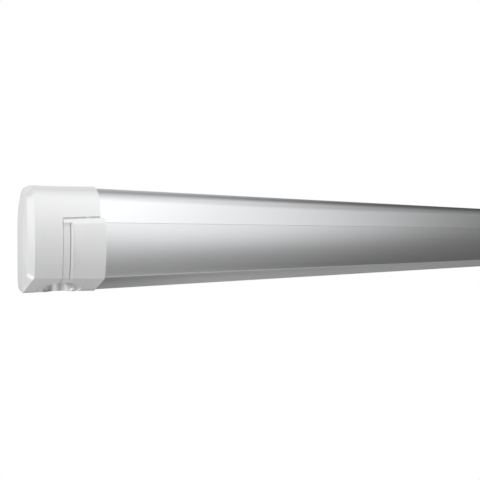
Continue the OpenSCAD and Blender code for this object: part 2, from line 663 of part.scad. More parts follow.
// Lead rail: front skin, sloping underside, leg channel, fabric groove and screw ports
rail_web_z = -half_h + channel_h;
channel_out = slope_u - 1;
channel_in = [channel_u + rail_wall, channel_out - rail_wall];
rail_web_end = front_c[0] + sqrt(pow(front_r - rail_wall, 2) - pow(rail_web_z, 2)) + rail_wall / 3;
rail_ports = [[slope_u + 21, rail_web_z - 4.8], [front_c[0] + front_r - rail_wall - 3, -10]];
module rail_section() difference() {
    union() {
        polygon(concat(
            [slope_low], front_arc(0, front_a(slope_head(0)), z_angle(0, rail_top)),
            flip(front_arc(rail_wall, front_a(slope_head(rail_wall)), z_angle(rail_wall, rail_top))),
            [slope_at_u(rail_wall, channel_out - rail_wall / 2), [channel_out - rail_wall / 2, -half_h]]));
        translate([channel_u, rail_web_z - rail_wall]) square([rail_web_end - channel_u, rail_wall]);
        translate([channel_u, -half_h]) square([rail_wall, channel_h]);
        translate([channel_out - rail_wall, -half_h]) square([rail_wall, channel_h]);
        translate([groove_u, groove_z]) circle(groove_r + rail_wall);
        for (p = rail_ports) translate(p) circle(port_r);
    }
    translate([groove_u, groove_z]) circle(groove_r);
    translate([groove_u, groove_z]) rotate(slot_a) translate([0, -slot_half])
        square([2 * groove_r, 2 * slot_half]);
    for (p = rail_ports) translate(p) circle(port_hole_r);
}
module lead_rail() color(alu) along(x_rail, -x_rail) rail_section();

// Caps on the ends of the lead rail, notched round the crank recess on the left
bead_x = x_part + 9.5;
bead_w = 1.8;
bead_h = 0.7;
rail_web_t = 3;
cap_return = 7;
module rail_cap_zone(x0, x1, z0) intersection() {
    block([x0, x1], [slope_u - 1, 2 * case_d], [z0, rail_cap_top]);
    children();
}
module rail_cap(side, crank) color(skin_white) at_side(side) {
    x0 = x_part + part_gap / 2;
    x1 = -half_l + rail_cap_in;
    x_web = x_rail - fit_gap - rail_web_t;
    knee_z = slope_h - half_h;
    difference() {
        union() {
            rail_cap_zone(x0, x1, -case_h) difference() {
                cap_loft(x0, x1, 0);
                cap_loft(x0 + 2, x_web, cap_wall);
                solid_section(cap_return, x0 - 1, x_web);
                solid_section(-run_gap, x_web + rail_web_t, x1 + 1);
            }
            rail_cap_zone(bead_x, bead_x + bead_w, knee_z)
                skin(cap_t(bead_x) - bead_h, cap_t(bead_x) + 1, x0, x1);
        }
        rail_cap_zone(bead_x - 1.2, bead_x, knee_z) intersection() {
            skin(cap_t(bead_x) - 1, cap_t(bead_x) + bead_h, x0, x1);
            block([x0, x1], [0, 2 * case_d], [-case_h, rail_cap_top - 5]);
        }
        intersection() {
            solid_section(-run_gap, x_plate - 1, x1 + 1);
            block([x0, x1 + 1], [0, 2 * case_d], [rail_top - run_gap, case_h]);
        }
        if (crank) {
            z_rod(x_crank, crank_u, -case_h, knee_z + 4, recess_out + 2 * run_gap);
            block([x_part - 5, x_crank + recess_out + 2 * run_gap], [0, crank_u], [-case_h, knee_z + 4]);
        }
        for (p = rail_ports) x_rod(x0, x1, p[0], p[1], port_hole_r + fit_gap);
    }
}
cap_screw_l = 14;
cap_screw_head = 2;
module rail_cap_screws() color(steel) for (side = [LEFT, RIGHT], p = rail_ports) at_side(side) {
    head_x = x_rail - fit_gap - rail_web_t;
    x_rod(head_x - cap_screw_head, head_x, p[0], p[1], 1.8 * port_hole_r);
    x_rod(head_x, x_rail + cap_screw_l, p[0], p[1], screw_shank_r);
}

// Brackets on the lead rail that hold the wrists of the arms
wrist_back = 2 * arm_step + wrist_r + over;
wrist_depth = 10;
wrist_foot = 24;
module wrist_brackets() color(cast) for (side = [LEFT, RIGHT]) difference() {
    union() {
        arm_frame(side) {
            both_cheeks(wrist_half + cheek_gap, wrist_half + cheek_gap + wrist_cheek_t) {
                translate(wrist_p) circle(wrist_r);
                translate([-wrist_r, 2 * arm_step]) square([2 * wrist_r, wrist_r + 1 + wrist_depth]);
            }
            level(-wrist_half - cheek_gap - wrist_cheek_t, wrist_half + cheek_gap + wrist_cheek_t)
                translate([-wrist_r - 3, wrist_back]) square([2 * wrist_r + 6, wrist_depth]);
        }
        at_side(side) block([-shoulder_x - wrist_foot, -shoulder_x + wrist_foot],
            [shoulder_u + wrist_back, shoulder_u + wrist_back + wrist_depth + 6],
            [rail_web_z, rail_web_z + 4]);
    }
    arm_frame(side) pin(wrist_p, wrist_pin_r + fit_gap / 5, pin_through);
    at_side(side) block([-half_l, half_l], [0, 2 * case_d], [-case_h, rail_web_z]);
}
module wrist_pins() color(steel) for (side = [LEFT, RIGHT])
    arm_frame(side) pin(wrist_p, wrist_pin_r, wrist_half + cheek_gap + wrist_cheek_t - 1);

// Support legs, stored side by side in the leg channel
lane_w = (channel_in[1] - channel_in[0]) / 2;
leg_z = rail_web_z - rail_wall - 1 - leg_h / 2;
eye_half = leg_w / 2 - 1.5;
eye_out_r = leg_h / 2 - 1;
leg_corner = 3;
leg_start = leg_h / 2 + 3;
inner_w = leg_w - 2 * leg_wall - 2 * run_gap;
inner_h = leg_h - 2 * leg_wall - 2 * run_gap;
inner_keep = 70;
foot_pin_x = leg_l + 14;
function lane_u(side) = channel_in[0] + lane_w * (side == LEFT ? 1.5 : 0.5);
// Children are drawn along x from the leg pivot, with u across and z up
module leg_frame(side) at_side(side) translate([-leg_x, -lane_u(side), leg_z]) children();
module leg_bar(x0, x1) bar(x0, x1, 0) children();
module cross_rod(x, half, r) translate([x, half, 0]) rotate([90, 0, 0]) cylinder(h = 2 * half, r = r);
module leg_pivots() color(cast) for (side = [LEFT, RIGHT]) leg_frame(side) {
    cheek_out = lane_w / 2 - fit_gap;
    cheek_in = eye_half + cheek_gap;
    difference() {
        union() {
            for (v = [cheek_in, -cheek_out]) translate([-leg_h / 2, v, -eye_out_r])
                cube([leg_h, cheek_out - cheek_in, eye_out_r + leg_h / 2 + 1]);
            translate([-leg_h / 2 - 8, -cheek_out, eye_out_r + run_gap])
                cube([leg_h + 8, 2 * cheek_out, leg_h / 2 + 1 - eye_out_r - run_gap]);
        }
        cross_rod(0, lane_w, leg_pin_r + fit_gap / 5);
    }
    cross_rod(0, cheek_out, leg_pin_r);
}
module leg_tube(side) color(alu) leg_frame(side) difference() {
    union() {
        leg_bar(leg_start, leg_l - collar_l / 2) rounded(leg_w, leg_h, leg_corner);
        cross_rod(0, eye_half, eye_out_r);
        translate([0, -eye_half, -eye_out_r + 1]) cube([leg_start + 1, 2 * eye_half, 2 * eye_out_r - 2]);
    }
    leg_bar(leg_start + 12, leg_l)
        rounded(leg_w - 2 * leg_wall, leg_h - 2 * leg_wall, leg_corner - leg_wall / 2);
    cross_rod(0, leg_w, leg_pin_r + pin_gap);
}
collar_wall = 1.2;
lever_pin_r = 1;
lever_r = 2;
lever_l = 36;
lever_x = leg_l - 8;
lever_z = -(leg_h + collar_wall) / 2 - cheek_gap - lever_r;
lever_half = leg_w / 2 - 3;
module leg_collar(side) color(dark) leg_frame(side) {
    difference() {
        union() {
            leg_bar(leg_l - collar_l, leg_l)
                rounded(leg_w + 2 * collar_wall, leg_h + collar_wall, leg_corner);
            for (s = [-1, 1]) translate([lever_x, s * (lever_half + 1.5), lever_z]) {
                cross_rod(0, 1.2, lever_r);
                translate([-lever_r, -1.2, 0]) cube([2 * lever_r, 2.4, -lever_z - leg_h / 2 + 0.4]);
            }
        }
        leg_bar(leg_l - collar_l - 1, leg_l - collar_l / 2)
            rounded(leg_w + 2 * fit_gap, leg_h + 2 * fit_gap, leg_corner);
        leg_bar(leg_l - collar_l, leg_l + 1)
            rounded(inner_w + 2 * run_gap, inner_h + 2 * run_gap, leg_corner - leg_wall);
        translate([0, 0, lever_z]) cross_rod(lever_x, leg_w, lever_pin_r + fit_gap / 5);
    }
    translate([0, 0, lever_z]) cross_rod(lever_x, lever_half + 2.7, lever_pin_r);
}
module leg_lever(side) color(dark) leg_frame(side) translate([lever_x, 0, lever_z]) difference() {
    union() {
        cross_rod(0, lever_half, lever_r);
        translate([-lever_l, -lever_half, -lever_r]) cube([lever_l, 2 * lever_half, lever_r]);
    }
    cross_rod(0, leg_w, lever_pin_r + pin_gap);
}

// Inner leg tube with a tilting foot
foot_pin_r = 1.5;
foot_half = 5.2;
tongue_half = 2;
foot_cheek_t = 3.4;
module leg_inner(side) color(alu) leg_frame(side) difference() {
    union() {
        leg_bar(inner_keep, leg_l + 4) rounded(inner_w, inner_h, leg_corner - leg_wall);
        translate([leg_l + 3, -tongue_half, -foot_half + 0.4])
            cube([foot_pin_x - leg_l - 3, 2 * tongue_half, 2 * foot_half - 0.8]);
        cross_rod(foot_pin_x, tongue_half, foot_half - 0.4);
    }
    leg_bar(inner_keep - 1, leg_l - 2) rounded(inner_w - 2 * leg_wall, inner_h - 2 * leg_wall, 0.6);
    cross_rod(foot_pin_x, leg_w, foot_pin_r + pin_gap);
}
module leg_foot(side) color(dark) leg_frame(side) {
    cheek_mid = tongue_half + cheek_gap + foot_cheek_t / 2;
    difference() {
        union() {
            for (s = [-1, 1]) translate([foot_pin_x, s * cheek_mid, 0]) {
                cross_rod(0, foot_cheek_t / 2, foot_half);
                translate([0, -foot_cheek_t / 2, -foot_half])
                    cube([foot_l - 5, foot_cheek_t, 2 * foot_half]);
            }
            translate([foot_pin_x + foot_l - 6, -leg_w / 2, -foot_half]) cube([6, leg_w, 2 * foot_half]);
        }
        cross_rod(foot_pin_x, leg_w, foot_pin_r + fit_gap / 5);
    }
    cross_rod(foot_pin_x, cheek_mid + foot_cheek_t / 2, foot_pin_r);
}

cassette_housing();
wall_seal();
wall_brackets();
bracket_lock_screws();
end_plate(LEFT);  // end_plate_left
end_plate(RIGHT);  // end_plate_right
end_plate_screws();
end_cap(LEFT, true);  // end_cap_left
end_cap(RIGHT, false);  // end_cap_right
gearbox_housing();
gearbox_cover();
gearbox_screws();
crank_guide();
worm_shaft();
crank_eye();
worm_wheel();
roller_tube();
roller_plug(LEFT);  // roller_plug_left
roller_plug(RIGHT);  // roller_plug_right
roller_bushes();
fabric_roll();
fabric_sheet();
fabric_keder();
shoulder_bracket(LEFT);  // shoulder_bracket_left
shoulder_bracket(RIGHT);  // shoulder_bracket_right
shoulder_bolts();
shoulder_pins();
shoulder_knuckle(LEFT);  // shoulder_knuckle_left
shoulder_knuckle(RIGHT);  // shoulder_knuckle_right
upper_arm(LEFT);  // upper_arm_left
upper_arm(RIGHT);  // upper_arm_right
arm_spring(LEFT);  // arm_spring_left
arm_spring(RIGHT);  // arm_spring_right
elbow_fork(LEFT);  // elbow_fork_left
elbow_fork(RIGHT);  // elbow_fork_right
elbow_pin(LEFT);  // elbow_pin_left
elbow_pin(RIGHT);  // elbow_pin_right
elbow_tongue(LEFT);  // elbow_tongue_left
elbow_tongue(RIGHT);  // elbow_tongue_right
forearm(LEFT);  // forearm_left
forearm(RIGHT);  // forearm_right
wrist_knuckle(LEFT, pin_gap);  // wrist_knuckle_left
wrist_knuckle(RIGHT, run_gap);  // wrist_knuckle_right
lead_rail();
rail_cap(LEFT, true);  // rail_cap_left
rail_cap(RIGHT, false);  // rail_cap_right
rail_cap_screws();
wrist_brackets();
wrist_pins();
leg_pivots();
leg_tube(LEFT);  // leg_tube_left
leg_tube(RIGHT);  // leg_tube_right
leg_collar(LEFT);  // leg_collar_left
leg_collar(RIGHT);  // leg_collar_right
leg_lever(LEFT);  // leg_lever_left
leg_lever(RIGHT);  // leg_lever_right
leg_inner(LEFT);  // leg_inner_left
leg_inner(RIGHT);  // leg_inner_right
leg_foot(LEFT);  // leg_foot_left
leg_foot(RIGHT);  // leg_foot_right
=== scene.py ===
# %% [markdown]
# # A roll-out awning, closed on its wall
# The awning is a long aluminium case that a camper carries above its side door. Inside it a roller
# holds the fabric, and two folding arms push a lead rail out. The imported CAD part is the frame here:
# its bodies move, and everything drawn below rides on them.

# %% The frame
import json
import math

import bmesh
import bpy
from mathutils import Matrix, Vector


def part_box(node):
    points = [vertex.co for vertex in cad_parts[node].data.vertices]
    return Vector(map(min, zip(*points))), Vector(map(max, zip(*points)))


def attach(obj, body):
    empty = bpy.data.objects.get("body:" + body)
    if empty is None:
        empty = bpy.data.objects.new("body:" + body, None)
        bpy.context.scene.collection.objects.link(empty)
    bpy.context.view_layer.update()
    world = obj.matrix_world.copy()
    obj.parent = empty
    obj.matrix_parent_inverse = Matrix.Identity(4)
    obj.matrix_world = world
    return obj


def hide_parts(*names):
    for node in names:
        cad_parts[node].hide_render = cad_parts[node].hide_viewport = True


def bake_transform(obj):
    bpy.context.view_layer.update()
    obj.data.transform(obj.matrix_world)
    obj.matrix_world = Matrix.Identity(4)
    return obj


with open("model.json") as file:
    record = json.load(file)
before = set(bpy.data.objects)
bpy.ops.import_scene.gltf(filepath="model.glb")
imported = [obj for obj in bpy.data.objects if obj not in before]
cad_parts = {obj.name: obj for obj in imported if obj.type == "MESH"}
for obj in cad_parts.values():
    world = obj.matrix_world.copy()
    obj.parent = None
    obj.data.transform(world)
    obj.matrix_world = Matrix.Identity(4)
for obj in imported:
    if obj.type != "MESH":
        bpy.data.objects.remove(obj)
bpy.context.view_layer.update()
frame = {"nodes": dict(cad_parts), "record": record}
MM = 0.001

# %% [markdown]
# ## The section
# Seen from its end the closed awning is one outline: a flat back, a flat top, a shoulder with a small
# radius, a front that bows out on a large radius, and a slope under it. Every long piece and every cap
# follows that outline, some of them a little inside or outside it. So the outline is worked out once,
# at any inset, from the few radii that a maker would put on the drawing. Distances from the wall are
# called u, and heights z.

# %% Measures of the section, in millimetres
END = 1300.0
HALF_H, DEPTH = 62.0, 100.0
BACK = 5.5
FRONT_R, TOP_R = 180.0, 25.0
FRONT = Vector((DEPTH - FRONT_R, 0.0))
TOP = Vector((FRONT.x + math.sqrt((FRONT_R - TOP_R) ** 2 - (HALF_H - TOP_R) ** 2), HALF_H - TOP_R))
SHOULDER = math.degrees(math.atan2(TOP.y, TOP.x - FRONT.x))
SLOPE_FOOT = Vector((56.0, -HALF_H))
KNEE_Z = -44.5
SLOPE_KNEE = Vector((FRONT.x + math.sqrt(FRONT_R ** 2 - KNEE_Z ** 2), KNEE_Z))
SLOPE = (SLOPE_KNEE - SLOPE_FOOT).normalized()
SLOPE_IN = Vector((-SLOPE.y, SLOPE.x))
LIP_Z = 20.2
RAIL_TOP = 21.0
RAIL_EDGE = LIP_Z - 0.03


def slope_foot(inset):
    """Where the slope meets the flat bottom, at an inset from the outline."""
    return SLOPE_FOOT + inset * SLOPE_IN + SLOPE * inset * (1 - SLOPE_IN.y) / SLOPE.y


def slope_knee(inset):
    """Where the slope meets the bowed front, at an inset from the outline."""
    start = SLOPE_FOOT + inset * SLOPE_IN
    reach = start - FRONT
    along = reach.dot(SLOPE)
    return start + SLOPE * (-along + math.sqrt(along ** 2 - reach.length_squared + (FRONT_R - inset) ** 2))


def slope_at(u, inset):
    """The point of the slope at a distance u from the wall."""
    start = SLOPE_FOOT + inset * SLOPE_IN
    return start + SLOPE * (u - start.x) / SLOPE.x


def front_angle(z, inset):
    """The angle on the bowed front at a height z, in degrees."""
    return math.degrees(math.asin(z / (FRONT_R - inset)))


def place(x, u, z):
    """A point of the frame, in metres, from millimetres along, out from the wall, and up."""
    return Vector((x, -u, z)) * MM


print("shoulder starts at", round(SHOULDER, 1), "degrees, knee at u", round(SLOPE_KNEE.x, 1))

# %% [markdown]
# ## A pen for sections
# A section could be typed as a list of points, but arcs would lose their meaning. The pen below draws
# as a draughtsman does: it starts at a point, runs lines by extruding its last vertex, and turns arcs by
# spinning that vertex round a centre. A closed line can then be filled and extruded into a rail.

# %% The pen
class Pen:
    """Draws one line of edges across the awning, at one place along it."""

    def __init__(self, bm, x, start):
        self.bm, self.x = bm, x
        self.first_edge = len(bm.edges)
        self.last = self.first = bmesh.ops.create_vert(bm, co=place(x, *start))["vert"][0]

    def line(self, *points):
        for point in points:
            self.last = bmesh.ops.extrude_vert_indiv(self.bm, verts=[self.last])["verts"][0]
            self.last.co = place(self.x, *point)
        return self

    def run(self, point, steps):
        start = Vector((-self.last.co.y, self.last.co.z)) / MM
        return self.line(*(start.lerp(Vector(point), step / steps) for step in range(1, steps + 1)))

    def arc(self, centre, degrees, steps):
        turned = bmesh.ops.spin(
            self.bm, geom=[self.last], cent=place(self.x, *centre), axis=(-1, 0, 0),
            angle=math.radians(degrees), steps=steps)
        self.last = turned["geom_last"][0]
        return self

    def front(self, inset, z0, z1, steps):
        return self.arc(FRONT, front_angle(z1, inset) - front_angle(z0, inset), steps)

    def edges(self):
        self.bm.edges.ensure_lookup_table()
        return self.bm.edges[self.first_edge:]

    def close(self):
        self.bm.edges.new((self.last, self.first))
        return self.edges()


def run_out(bm, edges, length):
    """Fills a closed line and extrudes it along the awning, as a die does."""
    filled = bmesh.ops.edgeloop_fill(bm, edges=edges)["faces"]
    drawn = bmesh.ops.extrude_face_region(bm, geom=filled)["geom"]
    moved = [v for v in drawn if isinstance(v, bmesh.types.BMVert)]
    bmesh.ops.translate(bm, verts=moved, vec=(length * MM, 0, 0))


print("pen ready")

# %% [markdown]
# ## From a mesh to a piece
# A bmesh is only geometry. To become a piece of the awning it needs a finish, the body that it rides on, and
# the names of the CAD nodes that it takes the place of. One function does this for every piece below, so
# that none of it is forgotten. It also shades the mesh smooth and leaves the sharp edges sharp.

# %% Pieces
MERGE = 0.002 * MM


def smooth_by_angle(mesh, degrees=32):
    """Smooth shading that keeps the edges sharper than an angle."""
    mesh.shade_smooth()
    mesh.set_sharp_from_angle(angle=math.radians(degrees))


def piece(name, bm, body, replaces, finish):
    """Turns a bmesh into a piece of the awning. With a body it rides on that body."""
    bmesh.ops.remove_doubles(bm, verts=bm.verts, dist=MERGE)
    bmesh.ops.recalc_face_normals(bm, faces=bm.faces)
    mesh = bpy.data.meshes.new(name)
    bm.to_mesh(mesh)
    bm.free()
    smooth_by_angle(mesh)
    made = bpy.data.objects.new(name, mesh)
    bpy.context.scene.collection.objects.link(made)
    mesh.materials.append(finish)
    if body:
        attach(made, body)
    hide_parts(*replaces)
    return made


print("points closer than", MERGE / MM, "mm become one")

# %% [markdown]
# ## Cutting a piece
# A rail is sawn and notched after it leaves the die, and a cap gets its hole in the mould. Both are a boolean
# modifier here: a second mesh is taken away from the piece. The result becomes the piece's own mesh at once,
# and the cutter is removed, so that no helper stays in the scene.

# %% Cuts
def bake(made):
    """Makes a piece's modifiers part of its mesh."""
    made_mesh = bpy.data.meshes.new_from_object(
        made.evaluated_get(bpy.context.evaluated_depsgraph_get()))
    made.modifiers.clear()
    made_mesh.name = made.data.name
    made.data = made_mesh
    smooth_by_angle(made_mesh)


def cut_with(made, bm):
    """Takes a shape away from a piece, and removes the shape."""
    tool = bpy.data.objects.new("cutter", bpy.data.meshes.new("cutter"))
    bm.to_mesh(tool.data)
    bm.free()
    bpy.context.scene.collection.objects.link(tool)
    cut = made.modifiers.new("cut", "BOOLEAN")
    cut.object, cut.operation, cut.solver, cut.use_self = tool, "DIFFERENCE", "EXACT", True
    bake(made)
    bpy.data.meshes.remove(tool.data)


def cut_box(made, low, high):
    """Takes a box away from a piece, between two corners given along, out and up."""
    bm = bmesh.new()
    size = [b - a for a, b in zip(low, high)]
    middle = [(a + b) / 2 for a, b in zip(low, high)]
    bmesh.ops.create_cube(bm, size=1.0, matrix=Matrix.LocRotScale(place(*middle), None, Vector(size) * MM))
    cut_with(made, bm)


print("cutters ready")

# %% [markdown]
# ## Finishes as expressions
# A finish is a tree of shader nodes, and most of its nodes are arithmetic. Wiring them one by one hides
# what they do. Here a value that comes out of a node is wrapped, so that `0.3 + 0.1 * grain` adds the Math
# nodes by itself, and one method makes every other kind of node.

# %% Values and finishes
class Value:
    """A socket that can be added, multiplied and compared like a number."""

    def __init__(self, finish, socket):
        self.finish, self.socket = finish, socket

    def maths(self, operation, first, second=None):
        sockets = {0: first} if second is None else {0: first, 1: second}
        return self.finish.node("ShaderNodeMath", {"operation": operation}, sockets)

    def __add__(self, other):
        return self.maths("ADD", self, other)

    def __sub__(self, other):
        return self.maths("SUBTRACT", self, other)

    def __rsub__(self, other):
        return self.maths("SUBTRACT", other, self)

    def __mul__(self, other):
        return self.maths("MULTIPLY", self, other)

    def __gt__(self, other):
        return self.maths("GREATER_THAN", self, other)

    __radd__, __rmul__ = __add__, __mul__

    def wave(self):
        return self.maths("SINE", self)

    def fraction(self):
        return self.maths("FRACT", self)


class Nodes:
    """A node tree with one method that makes any node."""

    def __init__(self, owner):
        owner.use_nodes = True
        self.tree = owner.node_tree

    def feed(self, socket, value):
        if isinstance(value, Value):
            self.tree.links.new(value.socket, socket)
        else:
            socket.default_value = value

    def node(self, kind, settings=None, inputs=None, out=0):
        made = self.tree.nodes.new(kind)
        for name, value in (settings or {}).items():
            setattr(made, name, value)
        for name, value in (inputs or {}).items():
            self.feed(made.inputs[name], value)
        return Value(self, made.outputs[out])

    def axis(self, name, of):
        return self.node("ShaderNodeSeparateXYZ", {}, {0: of}, out=name)


class Finish(Nodes):
    """A material whose looks are worked out from where a point is on the piece."""

    def __init__(self, name, **constants):
        self.material = bpy.data.materials.new(name)
        super().__init__(self.material)
        self.shader = self.tree.nodes["Principled BSDF"]
        self.set(**constants)
        self.where = self.node("ShaderNodeTexCoord", out="Object")

    def set(self, **inputs):
        for name, value in inputs.items():
            self.feed(self.shader.inputs[name.replace("_", " ")], value)

    def stretched(self, *scale):
        return self.node("ShaderNodeMapping", {}, {"Vector": self.where, "Scale": scale})

    def grain(self, scale, detail=2.0, at=None):
        return self.node("ShaderNodeTexNoise", {}, {
            "Vector": at or self.where, "Scale": scale, "Detail": detail, "Roughness": 0.55})

    def shade(self, amount, dark, light):
        """A colour between two, by an amount."""
        return self.node("ShaderNodeMix", {"data_type": "RGBA"}, {
            0: amount, 6: (*dark, 1), 7: (*light, 1)}, out=2)

    def relief(self, height, depth):
        """A bump of a depth in millimetres."""
        return self.node("ShaderNodeBump", {}, {"Height": height, "Distance": depth * MM, "Strength": 1.0})


print("finish tools ready")

# %% [markdown]
# ## Satin aluminium
# The case and the rail come out of a die and are anodised. The die leaves faint lines along the length,
# and the anodising leaves a soft, slightly grainy gloss. So the grain is drawn out along x until it reads
# as lines, and it moves the gloss and the relief a little, and the colour hardly at all.

# %% Satin aluminium
def satin_aluminium(name, light, rough, line_depth=0.012):
    skin = Finish(name, Metallic=1.0)
    die_lines = skin.grain(1.0, 3.0, skin.stretched(1.2, 420.0, 420.0))
    fine_lines = skin.grain(1.0, 2.0, skin.stretched(9.0, 2600.0, 2600.0))
    cloud = skin.grain(7.0, 2.0)
    dark = tuple(0.95 * part for part in light)
    skin.set(
        Base_Color=skin.shade(0.55 * die_lines + 0.45 * cloud, dark, light),
        Roughness=rough - 0.05 + 0.06 * die_lines + 0.04 * fine_lines,
        Normal=skin.relief(0.7 * die_lines + 0.3 * fine_lines, line_depth))
    return skin.material


alu_case = satin_aluminium("satin_aluminium", (0.72, 0.725, 0.735), 0.33)
alu_inside = satin_aluminium("mill_aluminium", (0.6, 0.605, 0.615), 0.42, 0.02)
print("aluminium:", alu_case.name, alu_inside.name)

# %% [markdown]
# ## White plastic and powder coat
# The caps are moulded plastic with a very fine etched skin. The arms are powder coated, which settles into
# a shallow orange peel. Both are the same white, and only the size of their grain and their gloss differ.

# %% Whites
def white_skin(name, grain_size, depth, rough, coat):
    skin = Finish(name, IOR=2.0, Specular_IOR_Level=1.0, Coat_Roughness=0.2)
    etch = skin.grain(1000.0 / grain_size, 3.0)
    cloud = skin.grain(16.0, 2.0)
    skin.set(
        Base_Color=skin.shade(cloud, (0.865, 0.87, 0.877), (0.895, 0.898, 0.902)),
        Roughness=rough + 0.08 * etch + 0.05 * cloud,
        Coat_Weight=coat * (0.7 + 0.6 * cloud),
        Normal=skin.relief(etch, depth))
    return skin.material


white_plastic = white_skin("white_moulded_plastic", 0.5, 0.01, 0.26, 0.6)
white_coat = white_skin("white_powder_coat", 1.6, 0.05, 0.24, 0.3)
print("whites:", white_plastic.name, white_coat.name)

# %% [markdown]
# ## Small metal and dark finishes
# Knuckles are die-cast and painted grey, pins and screws are zinc-plated, the crank's cup is plated bright,
# the worm wheel is brass, and the plugs and the seal are black plastic and rubber. Each gets one grain of its
# own size.

# %% Small finishes
def grained(name, dark, light, rough, spread, scale, depth, metal=0.0):
    skin = Finish(name, Metallic=metal)
    grain = skin.grain(scale, 4.0)
    cloud = skin.grain(0.08 * scale, 2.0)
    skin.set(
        Base_Color=skin.shade(0.5 * grain + 0.5 * cloud, dark, light),
        Roughness=rough + spread * (0.6 * grain + 0.4 * cloud),
        Normal=skin.relief(grain, depth))
    return skin.material


cast_grey = grained("cast_grey_paint", (0.30, 0.305, 0.315), (0.40, 0.405, 0.415), 0.38, 0.16, 900, 0.03)
steel = grained("zinc_steel", (0.48, 0.49, 0.50), (0.66, 0.66, 0.67), 0.22, 0.2, 500, 0.008, 1.0)
plating = grained("bright_plating", (0.80, 0.80, 0.81), (0.88, 0.88, 0.89), 0.22, 0.06, 300, 0.0005, 0.7)
brass = grained("cast_brass", (0.62, 0.44, 0.19), (0.78, 0.58, 0.28), 0.24, 0.18, 420, 0.012, 1.0)
black_plastic = grained("black_plastic", (0.02, 0.02, 0.022), (0.042, 0.042, 0.045), 0.42, 0.16, 1300, 0.02)
black_rubber = grained("black_rubber", (0.014, 0.014, 0.015), (0.03, 0.03, 0.031), 0.62, 0.22, 800, 0.03)
print("small finishes: cast, steel, plating, brass, plastic, rubber")

# %% [markdown]
# ## Awning fabric
# The fabric is a coated weave, light grey with a darker and a lighter stripe that run out with it. It is
# drawn off the roller by metres, so its look changes only across its width: stripes and warp threads are
# worked out from x alone, and they stay as they are while the sheet runs out.

# %% Fabric
STRIPES, STRIPE_START, WARP = 0.17, 0.27, 0.0011


def awning_cloth(name):
    cloth = Finish(name, Sheen_Weight=0.15, Sheen_Roughness=0.5)
    across = cloth.axis("X", cloth.where)
    repeat = (across * (1 / STRIPES) + STRIPE_START).fraction()
    wide = repeat > 0.62
    thin = (repeat > 0.54) - (repeat > 0.58)
    warp = (across * (2 * math.pi / WARP)).wave()
    fleck = cloth.grain(1.0, 2.0, cloth.stretched(900.0, 40.0, 40.0))
    tone = 0.62 - 0.34 * wide - 0.26 * thin + 0.22 * fleck + 0.05 * warp
    cloth.set(
        Base_Color=cloth.shade(tone, (0.17, 0.18, 0.19), (0.60, 0.61, 0.62)),
        Roughness=0.62 + 0.16 * fleck,
        Normal=cloth.relief(0.5 * warp + 0.5 * fleck, 0.06))
    return cloth.material


grey_fabric = awning_cloth("grey_awning_fabric")
print("fabric:", grey_fabric.name)

# %% [markdown]
# ## Finishes on the CAD nodes
# Most inner pieces are shown as the CAD made them. The record names a material slot for each of them, so
# one table from slot to finish dresses all nodes, and the pieces drawn below cover the few that need finer
# surfaces than the frame's.

# %% Dress the nodes
FINISH = {
    "aluminium": alu_inside, "white_plastic": white_plastic, "white_coat": white_coat,
    "cast_grey": cast_grey, "steel": steel, "black_plastic": black_plastic,
    "black_rubber": black_rubber, "grey_fabric": grey_fabric, "brass": brass}
for part in frame["record"]["subparts"]:
    node = frame["nodes"][part["node"]]
    node.data.materials.clear()
    node.data.materials.append(FINISH[part["material_slot"]])
for side in ("left", "right"):
    frame["nodes"]["end_plate_" + side].data.materials[0] = white_coat

# %% [markdown]
# ## The cassette
# The case is one extrusion: the bowed upper front, the top, a hook box that hangs on the wall brackets,
# and a back wall with a small ledge. All of it has the same wall, so one closed line describes it, out
# along the outer face and back along the inner one. Its front ends in a lip that stands a little over the
# rail, with a short tongue behind the rail's edge that keeps rain out. At both ends the lip is notched, to
# make room for the caps of the rail.

# %% Cassette
WALL = 2.4
HOOK_Z, HOOK_GAP, HOOK_BOX = HALF_H - 11.5, 5.2, 10.0
LEDGE = BACK + 8.0
LIP_OVER = 0.9
TONGUE = ((96.1, LIP_Z - 1.6), (94.8, LIP_Z - 1.6), (94.8, LIP_Z + 1.2))
X_CASE = -END + 70.0
NOTCH_IN, NOTCH_LOW, NOTCH_HIGH = 11.5, LIP_Z - 5.0, LIP_Z + 7.4
SKIN_FROM, SKIN_TO = 90.0, 110.0
PORT_R, PORT_HOLE, PORT_SLOT = 3.6, 1.9, 20.0
CASE_PORTS = [(BACK + 11.5, HALF_H - 5.6), (TOP.x + 15.0, TOP.y + 13.0), (BACK + 5.0, -HALF_H + 11.0)]


def round_point(centre, radius, degrees):
    """A point of the section, by its angle round a centre."""
    turn = math.radians(degrees)
    return centre[0] + radius * math.cos(turn), centre[1] + radius * math.sin(turn)


def screw_port(bm, x, centre, length):
    """A round port along an extrusion, with the hole that a screw cuts into."""
    pen = Pen(bm, x, (centre[0] + PORT_R, centre[1])).arc(centre, 360 - PORT_SLOT, 20)
    pen.line(round_point(centre, PORT_HOLE, -PORT_SLOT)).arc(centre, PORT_SLOT - 360, 16)
    run_out(bm, pen.close(), length)


